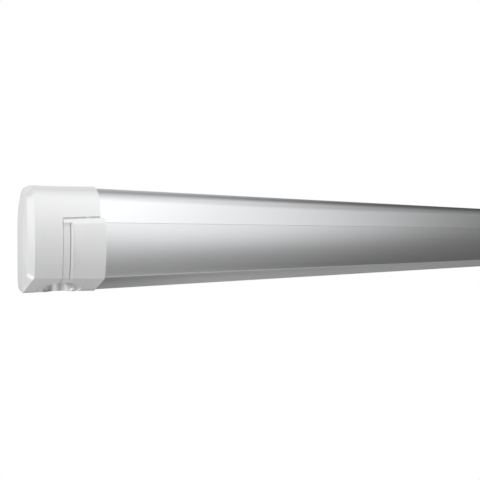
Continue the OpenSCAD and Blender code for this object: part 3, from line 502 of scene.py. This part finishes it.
def cassette():
    bm = bmesh.new()
    lip_u = round_point(FRONT, FRONT_R, front_angle(LIP_Z, 0))[0] + LIP_OVER
    outer = round_point(FRONT, FRONT_R, SHOULDER)
    box_z = HOOK_Z - HOOK_BOX
    pen = Pen(bm, X_CASE, (lip_u, LIP_Z)).line(outer).arc(TOP, 90 - SHOULDER, 18)
    pen.line((BACK, HALF_H), (BACK, HOOK_Z), (BACK + WALL, HOOK_Z), (BACK + WALL, HALF_H - WALL))
    pen.line((BACK + HOOK_GAP, HALF_H - WALL), (BACK + HOOK_GAP, box_z + WALL), (BACK, box_z + WALL))
    pen.line((BACK, -HALF_H), (LEDGE, -HALF_H), (LEDGE, WALL - HALF_H), (BACK + WALL, WALL - HALF_H))
    pen.line((BACK + WALL, box_z), (BACK + HOOK_GAP + WALL, box_z), (BACK + HOOK_GAP + WALL, HALF_H - WALL))
    pen.line((TOP.x, HALF_H - WALL)).arc(TOP, SHOULDER - 90, 18)
    pen.line(*reversed(TONGUE), (TONGUE[0][0], LIP_Z))
    run_out(bm, pen.close(), -2 * X_CASE)
    for port in CASE_PORTS:
        screw_port(bm, X_CASE, port, -2 * X_CASE)
    made = piece("cassette_case", bm, "cassette", ["cassette_housing"], alu_case)
    for low, high in ((X_CASE - 1, X_CASE + NOTCH_IN), (-X_CASE - NOTCH_IN, 1 - X_CASE)):
        cut_box(made, (low, SKIN_FROM, NOTCH_LOW), (high, SKIN_TO, NOTCH_HIGH))
    return made


case = cassette()
print("cassette:", len(case.data.polygons), "faces")

# %% [markdown]
# ## The lead rail
# The rail closes the lower front. Its skin carries the bow on to the knee and turns back along the slope.
# Behind the skin are a web, the channel that stores the legs, and the round groove that holds the hem of
# the fabric. The skin is one line, and the webs are rails of their own that run into it.

# %% Lead rail
RAIL_WALL = 2.2
X_RAIL = X_CASE + 1.0
X_SLIT, SLIT_FROM, SLIT_TOP = X_CASE + 20.0, 56.5, KNEE_Z - 0.8
WEB_Z = -38.0
CHANNEL = (15.0, 55.0)
GROOVE_R, GROOVE_MOUTH, GROOVE_FACES = 4.3, 24.0, 168.0
KNEE_SOFT, WEB_IN = 0.5, 0.7
TOUCH, CLEAR = 0.01 * MM, 5.0
GROOVE = (DEPTH - RAIL_WALL - GROOVE_R - 1.6, RAIL_TOP - GROOVE_R - RAIL_WALL - 1.5)
RAIL_PORTS = [(77.0, WEB_Z - 4.8), (DEPTH - RAIL_WALL - 3.0, -10.0)]


def bar_section(bm, x, length, low, high):
    """A plain web between two corners of the section."""
    pen = Pen(bm, x, low).line((high[0], low[1]), high, (low[0], high[1]))
    run_out(bm, pen.close(), length)


def rail():
    bm = bmesh.new()
    length = -2 * X_RAIL
    head, head_in = slope_knee(0), slope_knee(RAIL_WALL)
    end_in = slope_at(CHANNEL[1] - RAIL_WALL / 2, RAIL_WALL)
    pen = Pen(bm, X_RAIL, SLOPE_FOOT).line(head).front(0, head.y, RAIL_EDGE, 30)
    radius = FRONT_R - RAIL_WALL
    pen.line((round_point(FRONT, radius, front_angle(RAIL_EDGE, RAIL_WALL))[0], RAIL_EDGE))
    pen.front(RAIL_WALL, RAIL_EDGE, head_in.y, 30).line(end_in, (CHANNEL[1] - RAIL_WALL / 2, -HALF_H))
    run_out(bm, pen.close(), length)
    corner = place(0, *head).yz
    knee = [e for e in bm.edges if all((v.co.yz - corner).length < TOUCH for v in e.verts)]
    bmesh.ops.bevel(
        bm, geom=knee, offset=KNEE_SOFT * MM, segments=4, profile=0.5, affect="EDGES", material=-1)
    web_end = FRONT.x + math.sqrt(radius ** 2 - WEB_Z ** 2) + WEB_IN
    bar_section(bm, X_RAIL, length, (CHANNEL[0], WEB_Z - RAIL_WALL), (web_end, WEB_Z))
    for u in (CHANNEL[0], CHANNEL[1] - RAIL_WALL):
        bar_section(bm, X_RAIL, length, (u, -HALF_H), (u + RAIL_WALL, WEB_Z))
    pen = Pen(bm, X_RAIL, round_point(GROOVE, GROOVE_R + RAIL_WALL, GROOVE_FACES + GROOVE_MOUTH))
    pen.arc(GROOVE, 360 - 2 * GROOVE_MOUTH, 28)
    pen.line(round_point(GROOVE, GROOVE_R, GROOVE_FACES - GROOVE_MOUTH))
    pen.arc(GROOVE, 2 * GROOVE_MOUTH - 360, 28)
    run_out(bm, pen.close(), length)
    for port in RAIL_PORTS:
        screw_port(bm, X_RAIL, port, length)
    made = piece("lead_rail_profile", bm, "lead_rail", ["lead_rail"], alu_case)
    for low, high in ((X_RAIL - 1, X_SLIT), (-X_SLIT, 1 - X_RAIL)):
        cut_box(made, (low, SLIT_FROM, -HALF_H - CLEAR), (high, SKIN_TO, SLIT_TOP))
    return made


lead = rail()
print("lead rail:", len(lead.data.polygons), "faces")

# %% [markdown]
# ## The outline of a cap
# The caps follow the section, but not at one size: they stand proud of the case, draw in towards their outer
# end, and their knee and their parting run at a slight angle. So the outline is a function of the place along
# the awning, and each call draws one ring. It has corners where the cap is cut open later.

# %% Outline of a cap
X_CAP, X_PART, X_PLATE = -END + 82.5, -END + 40.2, X_CASE - 4.0
X_RIDGE = -END + 10.4
DRAFT, PROUD = 3.2, 2.0
GAP_NEAR, GAP_FAR = 25.0, 27.2
KNEE_LIFT, KNEE_RISE = 0.5, 1.1
FOOT_U, LOW_CORNER = 54.0, 0.35


def cap_inset(x):
    """How far the cap's face lies inside the outline at a place along it. Below zero it stands proud."""
    return DRAFT * (X_CAP - x) / (X_CAP - X_RIDGE) - PROUD


def cap_low(x):
    """The height of the parting between the two caps, which rises a little inwards."""
    return GAP_FAR + (GAP_NEAR - GAP_FAR) * (X_CAP - x) / (X_CAP - X_PART)


def cap_knee(x, inset):
    """The knee of a cap, which lies a little higher towards the outer end."""
    z = slope_knee(inset).y + KNEE_LIFT + KNEE_RISE * (X_CAP - x) / (X_CAP - X_RIDGE)
    return Vector((FRONT.x + math.sqrt((FRONT_R - inset) ** 2 - z ** 2), z))


def cap_ring(bm, x, inset, low_inset, back_r):
    """One closed outline of the cap, with corners where the cap is cut later."""
    foot, knee, part_z = slope_foot(low_inset), cap_knee(x, inset), cap_low(x)
    low, high, low_r = low_inset - HALF_H, HALF_H - inset, LOW_CORNER * back_r
    pen = Pen(bm, x, (BACK + inset + low_r, low)).run((FOOT_U, low), 6).line(foot).run(knee, 6)
    pen.front(inset, knee.y, part_z, 18).arc(FRONT, SHOULDER - front_angle(part_z, inset), 6)
    pen.arc(TOP, 90 - SHOULDER, 12).run((BACK + inset + back_r, high), 6)
    pen.arc((BACK + inset + back_r, high - back_r), 90, 10)
    pen.line((BACK + inset, min(part_z, high - back_r - 0.5))).run((BACK + inset, low + low_r), 7)
    return pen.arc((BACK + inset + low_r, low + low_r), 80, 8).close()


print("caps draw in by", DRAFT, "mm, their parting leans by", round(GAP_FAR - GAP_NEAR, 1), "mm")

# %% [markdown]
# ## The dome of a cap
# The outer end of a cap is a very flat dome. One face could fill it, but it would shade as a flat plate. So
# the last ring is extruded inwards a little at a time, each ring smaller and further out than the one before,
# and the points are then evened out along the awning only.

# %% Dome of a cap
DOME_CENTRE, DOME_RISE, DOME_IN, DOME_PASSES = (62.0, 0.0), 3.4, 0.96, 25


def close_dome(bm, ring, centre, rise, steps=7):
    """Closes a ring with a shallow dome: extruded inwards a little at a time, then evened out along x."""
    size, height, domed = 1.0, 0.0, []
    for step in range(1, steps + 1):
        drawn = bmesh.ops.extrude_edge_only(bm, edges=ring)["geom"]
        inner = [v for v in drawn if isinstance(v, bmesh.types.BMVert)]
        ring = [e for e in drawn if isinstance(e, bmesh.types.BMEdge) and all(v in inner for v in e.verts)]
        next_size = 1 - DOME_IN * step / steps
        by = next_size / size
        bmesh.ops.scale(bm, verts=inner, vec=(by, by, by), space=Matrix.Translation(-centre))
        next_height = rise * (1 - next_size ** 2)
        bmesh.ops.translate(bm, verts=inner, vec=((height - next_height) * MM, 0, 0))
        centre = centre - Vector((next_height - height, 0, 0)) * MM
        size, height = next_size, next_height
        domed += inner
    middle = bmesh.ops.edgeloop_fill(bm, edges=ring)["faces"]
    domed += bmesh.ops.poke(bm, faces=middle)["verts"]
    for again in range(DOME_PASSES):
        bmesh.ops.smooth_vert(bm, verts=domed, factor=0.5, use_axis_x=True)


print("dome rises by", DOME_RISE, "mm")

# %% [markdown]
# ## The hole for the crank
# The crank goes in from below, through a round hole in the slope of the left caps. A shallow dish round the
# hole leads it in. The dish is a round cutter that ends in a plane along the slope, and the hole is a second
# cutter with the same axis.

# %% Hole for the crank
CRANK = (-END + 44.5, 64.4)
RECESS_R, TOOL_BELOW = 20.6, 20.0
DISH_R, DISH_DEPTH, DISH_TILT = 25.6, 0.95, 0.023


def round_tool(radius, top_z):
    """A round cutter below the crank, up to a height."""
    bm = bmesh.new()
    depth = top_z + HALF_H + TOOL_BELOW
    bmesh.ops.create_cone(
        bm, cap_ends=True, segments=96, radius1=radius * MM, radius2=radius * MM, depth=depth * MM,
        matrix=Matrix.Translation(place(CRANK[0], CRANK[1], top_z - depth / 2)))
    return bm


def crank_hole(made, top_z):
    """Sinks a shallow round dish into the slope of a cap, and cuts the crank's hole in it."""
    inset = cap_inset(CRANK[0]) + DISH_DEPTH
    bm = round_tool(DISH_R, 0.0)
    bmesh.ops.bisect_plane(
        bm, geom=bm.verts[:] + bm.edges[:] + bm.faces[:], clear_outer=True,
        plane_co=place(CRANK[0], *(SLOPE_FOOT + inset * SLOPE_IN)),
        plane_no=(DISH_TILT, -SLOPE_IN.x, SLOPE_IN.y))
    bmesh.ops.holes_fill(bm, edges=[e for e in bm.edges if e.is_boundary])
    cut_with(made, bm)
    cut_with(made, round_tool(RECESS_R, top_z))


print("crank's hole is", 2 * RECESS_R, "mm wide, its dish", 2 * DISH_R, "mm")

# %% [markdown]
# ## Walls and soft edges
# A moulded cap is a shell with one wall, and the mould rounds its edges a little. Both are modifiers: one
# gives a surface its wall, and the other bevels each edge that is sharper than an angle. Without that bevel
# an edge catches no light and looks drawn.

# %% Walls and edges
def add_wall(made, thickness):
    wall = made.modifiers.new("wall", "SOLIDIFY")
    wall.thickness, wall.offset = thickness * MM, -1.0
    wall.use_quality_normals = True
    bake(made)


def add_bevel(made, width, segments=2, degrees=35):
    """Softens the edges of a piece, so that they catch light as real edges do."""
    soft = made.modifiers.new("soft_edges", "BEVEL")
    soft.width, soft.segments, soft.profile = width * MM, segments, 0.5
    soft.limit_method, soft.angle_limit = "ANGLE", math.radians(degrees)
    soft.harden_normals = True


print("walls and edges ready")

# %% [markdown]
# ## The fixed end caps
# Each cap is a moulded shell. It fits over the end of the case, draws in a little towards its outer end,
# breaks into a broad bevel there, and closes with a shallow dome. Its lower front is left open for the
# cap of the lead rail. It is lofted here: one outline for each station along the cap, bridged to the next,
# with the open part deleted before the shell gets its wall.

# %% Fixed caps
SIDE_GAP = 0.5
CAP_EDGE = X_PART - SIDE_GAP / 2
# Place along the cap, radius of its back corners, and how much more its bottom is inset.
STATIONS = ((X_CAP, 1.5, 0.0), (X_PLATE, 1.5, 0.0), (CAP_EDGE, 12.0, 0.2), (X_RIDGE, 32.0, -0.6))
BEVEL, LOW_INSET, END_BACK_R, END_RISE = 6.4, 2.1, 43.0, 1.014
LEAN, FOOT_LEAN, BOTTOM_BAND = 0.048, 0.098, 2.0
CAP_WALL, CAP_SOFT = 1.9, 0.6
SOFT_FROM = {"left": 30, "right": 16}


def loft(bm, rings):
    for near, far in zip(rings, rings[1:]):
        bmesh.ops.bridge_loops(bm, edges=near + far)


def turn_to_right(bm):
    bmesh.ops.scale(bm, verts=bm.verts, vec=(-1, 1, 1))


def ring_verts(ring):
    return list({v for e in ring for v in e.verts})


def leaning(out, up=0.0):
    """A shear that moves points along the awning, by how far they lie from the wall and how high."""
    return Matrix(((1, out, up, 0), (0, 1, 0, 0), (0, 0, 1, 0), (0, 0, 0, 1)))


def fixed_cap(side, mirrored):
    bm = bmesh.new()
    x_end, end_inset = X_RIDGE - BEVEL, cap_inset(X_RIDGE) + BEVEL
    rings = [cap_ring(bm, x, cap_inset(x), cap_inset(x) + lower, back_r) for x, back_r, lower in STATIONS]
    rings.append(cap_ring(bm, x_end, end_inset, LOW_INSET, END_BACK_R))
    upper = [v for v in ring_verts(rings[3] + rings[4]) if v.co.z > 0]
    bmesh.ops.scale(bm, verts=upper, vec=(1, 1, END_RISE))
    loft(bm, rings)
    front_u = DEPTH - end_inset
    bmesh.ops.transform(
        bm, verts=ring_verts(rings[-1]), matrix=leaning(LEAN),
        space=Matrix.Translation(-place(x_end, front_u, 0)))
    ridge, knee_z = ring_verts(rings[3]), cap_knee(X_RIDGE, cap_inset(X_RIDGE)).y
    over_bottom = (BOTTOM_BAND - HALF_H) * MM
    bottom = [v for v in ridge if v.co.z < over_bottom]
    slope = [v for v in ridge if over_bottom < v.co.z < knee_z * MM and v.co.y < -FOOT_U * MM]
    bmesh.ops.transform(
        bm, verts=bottom, matrix=leaning(FOOT_LEAN), space=Matrix.Translation(-place(X_RIDGE, BACK, 0)))
    fall = FOOT_LEAN * (FOOT_U - BACK) / (knee_z + HALF_H)
    bmesh.ops.transform(
        bm, verts=slope, matrix=leaning(0, fall), space=Matrix.Translation(-place(X_RIDGE, 0, knee_z)))
    close_dome(bm, rings[-1], place(x_end + LEAN * (front_u - DOME_CENTRE[0]), *DOME_CENTRE), DOME_RISE)
    gone = []
    for face in bm.faces:
        x, y, z = face.calc_center_median() / MM
        if x > CAP_EDGE and z < cap_low(x) and (x > X_PLATE or y < -FOOT_U):
            gone.append(face)
    bmesh.ops.delete(bm, geom=gone, context="FACES")
    if mirrored:
        turn_to_right(bm)
    made = piece("fixed_cap_" + side, bm, "cassette", ["end_cap_" + side], white_plastic)
    add_wall(made, CAP_WALL)
    if not mirrored:
        crank_hole(made, KNEE_Z + PROUD)
    add_bevel(made, CAP_SOFT, 3, SOFT_FROM[side])
    return made


caps = [fixed_cap("left", False), fixed_cap("right", True)]
print("fixed caps:", [len(cap.data.polygons) for cap in caps])

# %% [markdown]
# ## The crank cup
# A cup above the hole in the left cap leads the hook of the crank to its eye. It is turned: half its section
# is drawn beside the axis, spun round it, and cut off along the slope and the bottom of the cap. The cut
# leaves an inner and an outer edge, which are bridged to make the rim. The rim is bare plastic, the cup is
# plated.

# %% Crank cup
CUP_R, CUP_WALL, CUP_TOP, CUP_FILLET = 18.0, 2.5, -16.0, 5.0
SLEEVE_R, SLEEVE_WALL, SLEEVE_TOP = 5.3, 3.0, 7.25
RIM_SUNK = 0.05


def crank_cup():
    bm = bmesh.new()
    bore, cup = CRANK[1] + SLEEVE_R, CRANK[1] + CUP_R
    under, below = CUP_TOP - CUP_WALL, -HALF_H - CLEAR
    pen = Pen(bm, CRANK[0], (bore, SLEEVE_TOP)).line((bore, under), (cup - CUP_FILLET, under))
    pen.arc((cup - CUP_FILLET, under - CUP_FILLET), -90, 10)
    pen.line((cup, below), (cup + CUP_WALL, below), (cup + CUP_WALL, CUP_TOP))
    pen.line((bore + SLEEVE_WALL, CUP_TOP), (bore + SLEEVE_WALL, SLEEVE_TOP)).close()
    bmesh.ops.spin(
        bm, geom=bm.verts[:] + bm.edges[:], cent=place(*CRANK, 0), axis=(0, 0, 1),
        angle=2 * math.pi, steps=96)
    bmesh.ops.remove_doubles(bm, verts=bm.verts, dist=MERGE)
    inset = cap_inset(CRANK[0]) + RIM_SUNK
    slope = SLOPE_FOOT + (inset + DISH_DEPTH) * SLOPE_IN
    cuts = ((slope, (DISH_TILT, -SLOPE_IN.x, SLOPE_IN.y)), ((CRANK[1], inset - HALF_H), (0, 0, 1)))
    for point, inwards in cuts:
        bmesh.ops.bisect_plane(
            bm, geom=bm.verts[:] + bm.edges[:] + bm.faces[:], clear_inner=True,
            plane_co=place(CRANK[0], *point), plane_no=inwards)
    for face in bmesh.ops.bridge_loops(bm, edges=[e for e in bm.edges if e.is_boundary])["faces"]:
        face.material_index = 1
    made = piece("crank_cup", bm, "cassette", ["crank_guide"], plating)
    made.data.materials.append(white_plastic)
    return made


cup = crank_cup()
print("crank cup:", len(cup.data.polygons), "faces")

# %% [markdown]
# ## The caps of the lead rail
# These travel with the rail. They have the same draft as the fixed caps, a narrow bevel along the top edge
# that catches the light, a rounded upper corner, and a raised cover whose edge is bevelled beside an upright
# slot. The slot and the bevel are made by scaling a few stations of the loft about the centre of the bowed
# front, which moves them straight into the face.

# %% Rail caps
X_RAIL_CAP = -END + 88.5
X_COVER_TO = (-END + 64.0, -END + 78.0)
PART_GAP, TOP_BEVEL, TOP_IN, RAISED = 1.4, 4.4, 1.5, 0.6
UPSTAND_IN, UPSTAND_GAP, RAIL_CAP_SOFT = 1.2, 0.25, 0.4
CORNER_R, FOOT_IN, LOW_EDGE_Z = 4.0, 0.9, KNEE_Z + 0.6
BOTTOM_U, HOLE_TOP = 55.0, KNEE_Z + 4.0
COVER_X = X_PART + 9.3
STEPS = ((-1.9, 0.8), (-1.8, 3.6), (-0.7, 3.6), (-0.6, 1.6), (0.9, -0.1), (1.6, -0.35), (2.7, 0.0))


def rail_cap_line(bm, x, inset):
    """The open line of a rail cap: bottom, slope, bowed front and bevelled top edge."""
    knee, top = cap_knee(x, inset), cap_low(x) - PART_GAP
    pen = Pen(bm, x, (BOTTOM_U, inset + RAISED - HALF_H)).line(slope_foot(inset + RAISED)).run(knee, 4)
    pen.front(inset, knee.y, top - TOP_BEVEL, 20)
    edge = round_point(FRONT, FRONT_R - inset, front_angle(top, inset))[0] - TOP_IN
    stand = edge - UPSTAND_IN
    return pen.line((edge, top), (stand, top), (stand, top + PART_GAP - UPSTAND_GAP))


def push_face(bm, x, depth):
    """Moves the bowed face in at one station."""
    top = cap_low(x) - PART_GAP - TOP_BEVEL - 0.5
    moved = [v for v in bm.verts if abs(v.co.x - x * MM) < TOUCH and KNEE_Z < v.co.z / MM < top]
    by = 1 - depth / FRONT_R
    bmesh.ops.scale(bm, verts=moved, vec=(1, by, by), space=Matrix.Translation(-place(0, *FRONT)))


def rail_cap(side, mirrored):
    bm = bmesh.new()
    near = X_PART + SIDE_GAP / 2
    stations = [near, *(COVER_X + mark for mark, depth in STEPS), *X_COVER_TO, X_RAIL_CAP]
    lines = [rail_cap_line(bm, x, cap_inset(x)).edges() for x in stations]
    loft(bm, lines)
    low_edge = [v for v in bm.verts if v.co.x < near * MM + TOUCH and v.co.z < LOW_EDGE_Z * MM]
    bmesh.ops.translate(bm, verts=low_edge, vec=(FOOT_IN * MM, 0, 0))
    push_face(bm, near, STEPS[0][1])
    for mark, depth in STEPS:
        push_face(bm, COVER_X + mark, depth)
    for degrees in (22.5, 45.0, 67.5):
        across, up = math.cos(math.radians(degrees)), math.sin(math.radians(degrees))
        centre = Vector((X_RAIL_CAP - CORNER_R, 0, GAP_FAR - PART_GAP - CORNER_R))
        bmesh.ops.bisect_plane(
            bm, geom=bm.verts[:] + bm.edges[:] + bm.faces[:], clear_outer=True,
            plane_co=(centre + CORNER_R * Vector((across, 0, up))) * MM, plane_no=(across, 0, up))
    if mirrored:
        turn_to_right(bm)
    made = piece(
        "rail_cap_skin_" + side, bm, "lead_rail", ["rail_cap_" + side], white_plastic)
    add_wall(made, CAP_WALL)
    if not mirrored:
        crank_hole(made, HOLE_TOP)
        cut_box(made, (X_PART - CLEAR, 0, -100), (CRANK[0] + RECESS_R, CRANK[1], HOLE_TOP))
    add_bevel(made, RAIL_CAP_SOFT)
    return made


rail_caps = [rail_cap("left", False), rail_cap("right", True)]
print("rail caps:", [len(cap.data.polygons) for cap in rail_caps])

# %% [markdown]
# ## The fabric on its roller
# Wound fabric is a spiral. A spiral of even pitch can be drawn with half circles round two centres in turn,
# each half circle larger by half the pitch, which is how it was drawn with compasses. The line is extruded
# over the width of the cloth and given the cloth's thickness.

# %% Wound fabric
FABRIC_W = 2380.0
CLOTH_T, TURNS, TUBE_GAP = 0.33, 13, 0.15
ROLLER = Vector((41.0, 31.0))
ROLLER_R, ROLL_R = 22.0, 27.2


def wound_fabric():
    bm = bmesh.new()
    pitch = (ROLL_R - CLOTH_T - ROLLER_R - TUBE_GAP) / TURNS
    pen = Pen(bm, -FABRIC_W / 2, (ROLLER.x + ROLLER_R + TUBE_GAP, ROLLER.y))
    for half in range(2 * TURNS):
        shift = 0 if half % 2 == 0 else pitch / 2
        pen.arc((ROLLER.x - shift, ROLLER.y), 180, 20)
    drawn = bmesh.ops.extrude_edge_only(bm, edges=pen.edges())["geom"]
    moved = [v for v in drawn if isinstance(v, bmesh.types.BMVert)]
    bmesh.ops.translate(bm, verts=moved, vec=(FABRIC_W * MM, 0, 0))
    made = piece("wound_fabric", bm, "roller", ["fabric_roll"], grey_fabric)
    add_wall(made, CLOTH_T)
    return made


wound = wound_fabric()
print("wound fabric:", len(wound.data.polygons), "faces")

# %% [markdown]
# ## The run of fabric
# Between the roller and the rail runs the sheet itself. It leaves the roll along a tangent and ends in the
# slot of the hem groove. When the awning opens, one end stays at the roller and the other goes out with the
# rail. Here the sheet is drawn at rest, as one piece that rides on no body.

# %% Run of fabric
SHEET_FROM, SHEET_TO = Vector((48.22, 4.36)), Vector((85.25, 14.4))


def run_of_fabric():
    bm = bmesh.new()
    pen = Pen(bm, -FABRIC_W / 2, SHEET_FROM).run(SHEET_TO, 24)
    drawn = bmesh.ops.extrude_edge_only(bm, edges=pen.edges())["geom"]
    moved = [v for v in drawn if isinstance(v, bmesh.types.BMVert)]
    bmesh.ops.translate(bm, verts=moved, vec=(FABRIC_W * MM, 0, 0))
    made = piece("fabric_run", bm, None, ["fabric_sheet"], grey_fabric)
    add_wall(made, CLOTH_T)
    place(0, *SHEET_FROM)
    place(0, *SHEET_TO)
    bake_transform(made)
    length = (SHEET_TO - SHEET_FROM).length * MM
    return made, length


sheet, sheet_length = run_of_fabric()
print("run of fabric:", FABRIC_W * MM, "by", round(sheet_length, 4), "m at rest")

# %% [markdown]
# ## The tension springs
# A long coil spring in each upper arm pulls the arm open through a rod. A coil is what the spin operator
# makes when each step also moves along the axis. One turn is spun from a small ring of wire, and doubling it
# seven times gives 128 turns far faster than spinning them all.

# %% Springs
COIL_L, WIRE_R, ROD_R, ROD_IN = 0.42, 1.15 * MM, 3 * MM, 0.02
DOUBLINGS, PER_TURN = 7, 18


def arm_spring(side):
    low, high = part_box("arm_spring_" + side)
    centre = (Vector(low) + Vector(high)) / 2
    reach = (high[2] - low[2]) / 2
    inwards = 1 if centre.x < 0 else -1
    start = low[0] if inwards > 0 else high[0]
    bm = bmesh.new()
    at = Vector((start + inwards * WIRE_R, centre.y, centre.z + reach - WIRE_R))
    bmesh.ops.create_circle(
        bm, segments=7, radius=WIRE_R,
        matrix=Matrix.Translation(at) @ Matrix.Rotation(math.radians(90), 4, "X"))
    pitch = inwards * (COIL_L - 2 * WIRE_R) / 2 ** DOUBLINGS
    bmesh.ops.spin(
        bm, geom=bm.verts[:] + bm.edges[:], cent=centre, axis=(1, 0, 0), dvec=(pitch / PER_TURN, 0, 0),
        angle=2 * math.pi, steps=PER_TURN)
    for doubling in range(DOUBLINGS):
        copied = bmesh.ops.duplicate(bm, geom=bm.verts[:] + bm.edges[:] + bm.faces[:])["geom"]
        moved = [v for v in copied if isinstance(v, bmesh.types.BMVert)]
        bmesh.ops.translate(bm, verts=moved, vec=(pitch * 2 ** doubling, 0, 0))
    bmesh.ops.remove_doubles(bm, verts=bm.verts, dist=MERGE)
    bmesh.ops.holes_fill(bm, edges=[e for e in bm.edges if e.is_boundary])
    rod = abs(high[0] - low[0]) - COIL_L + ROD_IN
    middle = Vector((start + inwards * (COIL_L - ROD_IN + rod / 2), centre.y, centre.z))
    bmesh.ops.create_cone(
        bm, cap_ends=True, segments=24, radius1=ROD_R, radius2=ROD_R, depth=rod,
        matrix=Matrix.Translation(middle) @ Matrix.Rotation(math.radians(90), 4, "Y"))
    return piece("tension_spring_" + side, bm, "upper_arm_" + side, ["arm_spring_" + side], steel)


springs = [arm_spring(side) for side in ("left", "right")]
print("springs:", [len(spring.data.polygons) for spring in springs])

# %% [markdown]
# ## The studio
# Aluminium shows little of itself: what it shows is the room. So the light here is a room of soft panels,
# written into the world shader. Each panel is a direction and a strength, and it fades smoothly to nothing
# at its edge, as a large diffuser does. The camera itself sees plain white. The strengths go back to a least
# squares fit of test renders to the tones of the photograph. Seven are as the fit gave them, and the others
# were changed or added afterwards.

# %% Studio
# To the right, up, half width, all in degrees, and strength.
PANELS = (
    (-110, -45, 32, 1.30), (-110, -22, 32, 0.70), (-126, -8, 32, 1.60), (-75, 0, 32, 0.58),
    (-45, 0, 32, 0.72), (-75, 20, 32, 0.97), (-75, 42, 32, 1.08), (-60, 68, 32, 0.96), (5, 42, 32, 1.26),
    (55, 42, 32, 0.37), (60, 68, 32, 0.85), (30, 20, 32, 0.95), (5, 0, 32, 0.55), (30, 0, 32, 0.28),
    (30, -22, 32, 0.08), (80, -22, 32, 0.12), (130, -20, 32, 0.35), (165, -45, 32, 0.22),
    (180, 30, 60, 0.70))


def panel(studio, around, side, up, reach, strength):
    """A soft panel of light, by its angles to the right and up, its half width and its strength."""
    side, up = math.radians(side), math.radians(up)
    way = (math.sin(side) * math.cos(up), -math.cos(side) * math.cos(up), math.sin(up))
    near = studio.node("ShaderNodeVectorMath", {"operation": "DOT_PRODUCT"}, {0: around, 1: way}, out="Value")
    return strength * studio.node("ShaderNodeMapRange", {"interpolation_type": "SMOOTHSTEP"}, {
        "Value": near, "From Min": math.cos(math.radians(reach)), "From Max": 1.0})


def light_room(name):
    world = bpy.data.worlds.new(name)
    studio = Nodes(world)
    around = studio.node("ShaderNodeTexCoord", out="Generated")
    glow = panel(studio, around, *PANELS[0])
    for row in PANELS[1:]:
        glow = glow + panel(studio, around, *row)
    lit = studio.node("ShaderNodeBackground", {}, {"Color": (1, 1, 1, 1), "Strength": glow})
    white = studio.node("ShaderNodeBackground", {}, {"Color": (1, 1, 1, 1)})
    seen = studio.node("ShaderNodeLightPath", out="Is Camera Ray")
    both = studio.node("ShaderNodeMixShader", {}, {0: seen, 1: lit, 2: white})
    studio.feed(studio.tree.nodes["World Output"].inputs["Surface"], both)
    return world


bpy.context.scene.view_settings.view_transform = "Standard"
bpy.context.scene.world = light_room("studio_room")
print("studio:", len(PANELS), "soft panels")

# %% [markdown]
# ## The floor
# The closed awning hangs high on its wall, and the floor is out of the picture. When it is open its legs
# stand on the ground, so a round pale floor lies at that height. It belongs to the stage, not to the part.

# %% Floor
FLOOR_Y, FLOOR_Z, FLOOR_R = -1.0, -2.36, 2.7


def pale_floor(name):
    bm = bmesh.new()
    bmesh.ops.create_circle(
        bm, cap_ends=True, segments=128, radius=FLOOR_R, matrix=Matrix.Translation((0, FLOOR_Y, FLOOR_Z)))
    mesh = bpy.data.meshes.new(name)
    bm.to_mesh(mesh)
    bm.free()
    made = bpy.data.objects.new(name, mesh)
    bpy.context.scene.collection.objects.link(made)
    pale = Finish(name)
    pale.set(
        Base_Color=pale.shade(pale.grain(3.0), (0.74, 0.74, 0.74), (0.78, 0.78, 0.775)),
        Roughness=0.7 + 0.15 * pale.grain(40.0))
    mesh.materials.append(pale.material)
    return made


floor = pale_floor("pale_floor")
print("floor at", FLOOR_Z, "m")

# %% [markdown]
# ## The camera
# The photograph was taken close to the left end, a little left of it, looking along the awning. Its lens
# and place were worked out from the vanishing lines of the long edges, and they are set as plain numbers.

# %% Camera
FOCAL_PX, FRAME_PX, SENSOR = 504.5, 480.0, 36.0
HEADING, FALL = math.radians(56.13), -0.0085
CAMERA_AT = (-1.4101, -0.6775, 0.0047)
lens = bpy.data.cameras.new("photo_camera")
lens.sensor_width, lens.lens = SENSOR, FOCAL_PX / FRAME_PX * SENSOR
camera = bpy.data.objects.new("photo_camera", lens)
look = Vector((math.cos(HEADING), math.sin(HEADING), FALL))
camera.location = CAMERA_AT
camera.rotation_euler = look.to_track_quat("-Z", "Y").to_euler()
bpy.context.scene.collection.objects.link(camera)
bpy.context.scene.camera = camera
print("camera:", round(lens.lens, 1), "mm lens")
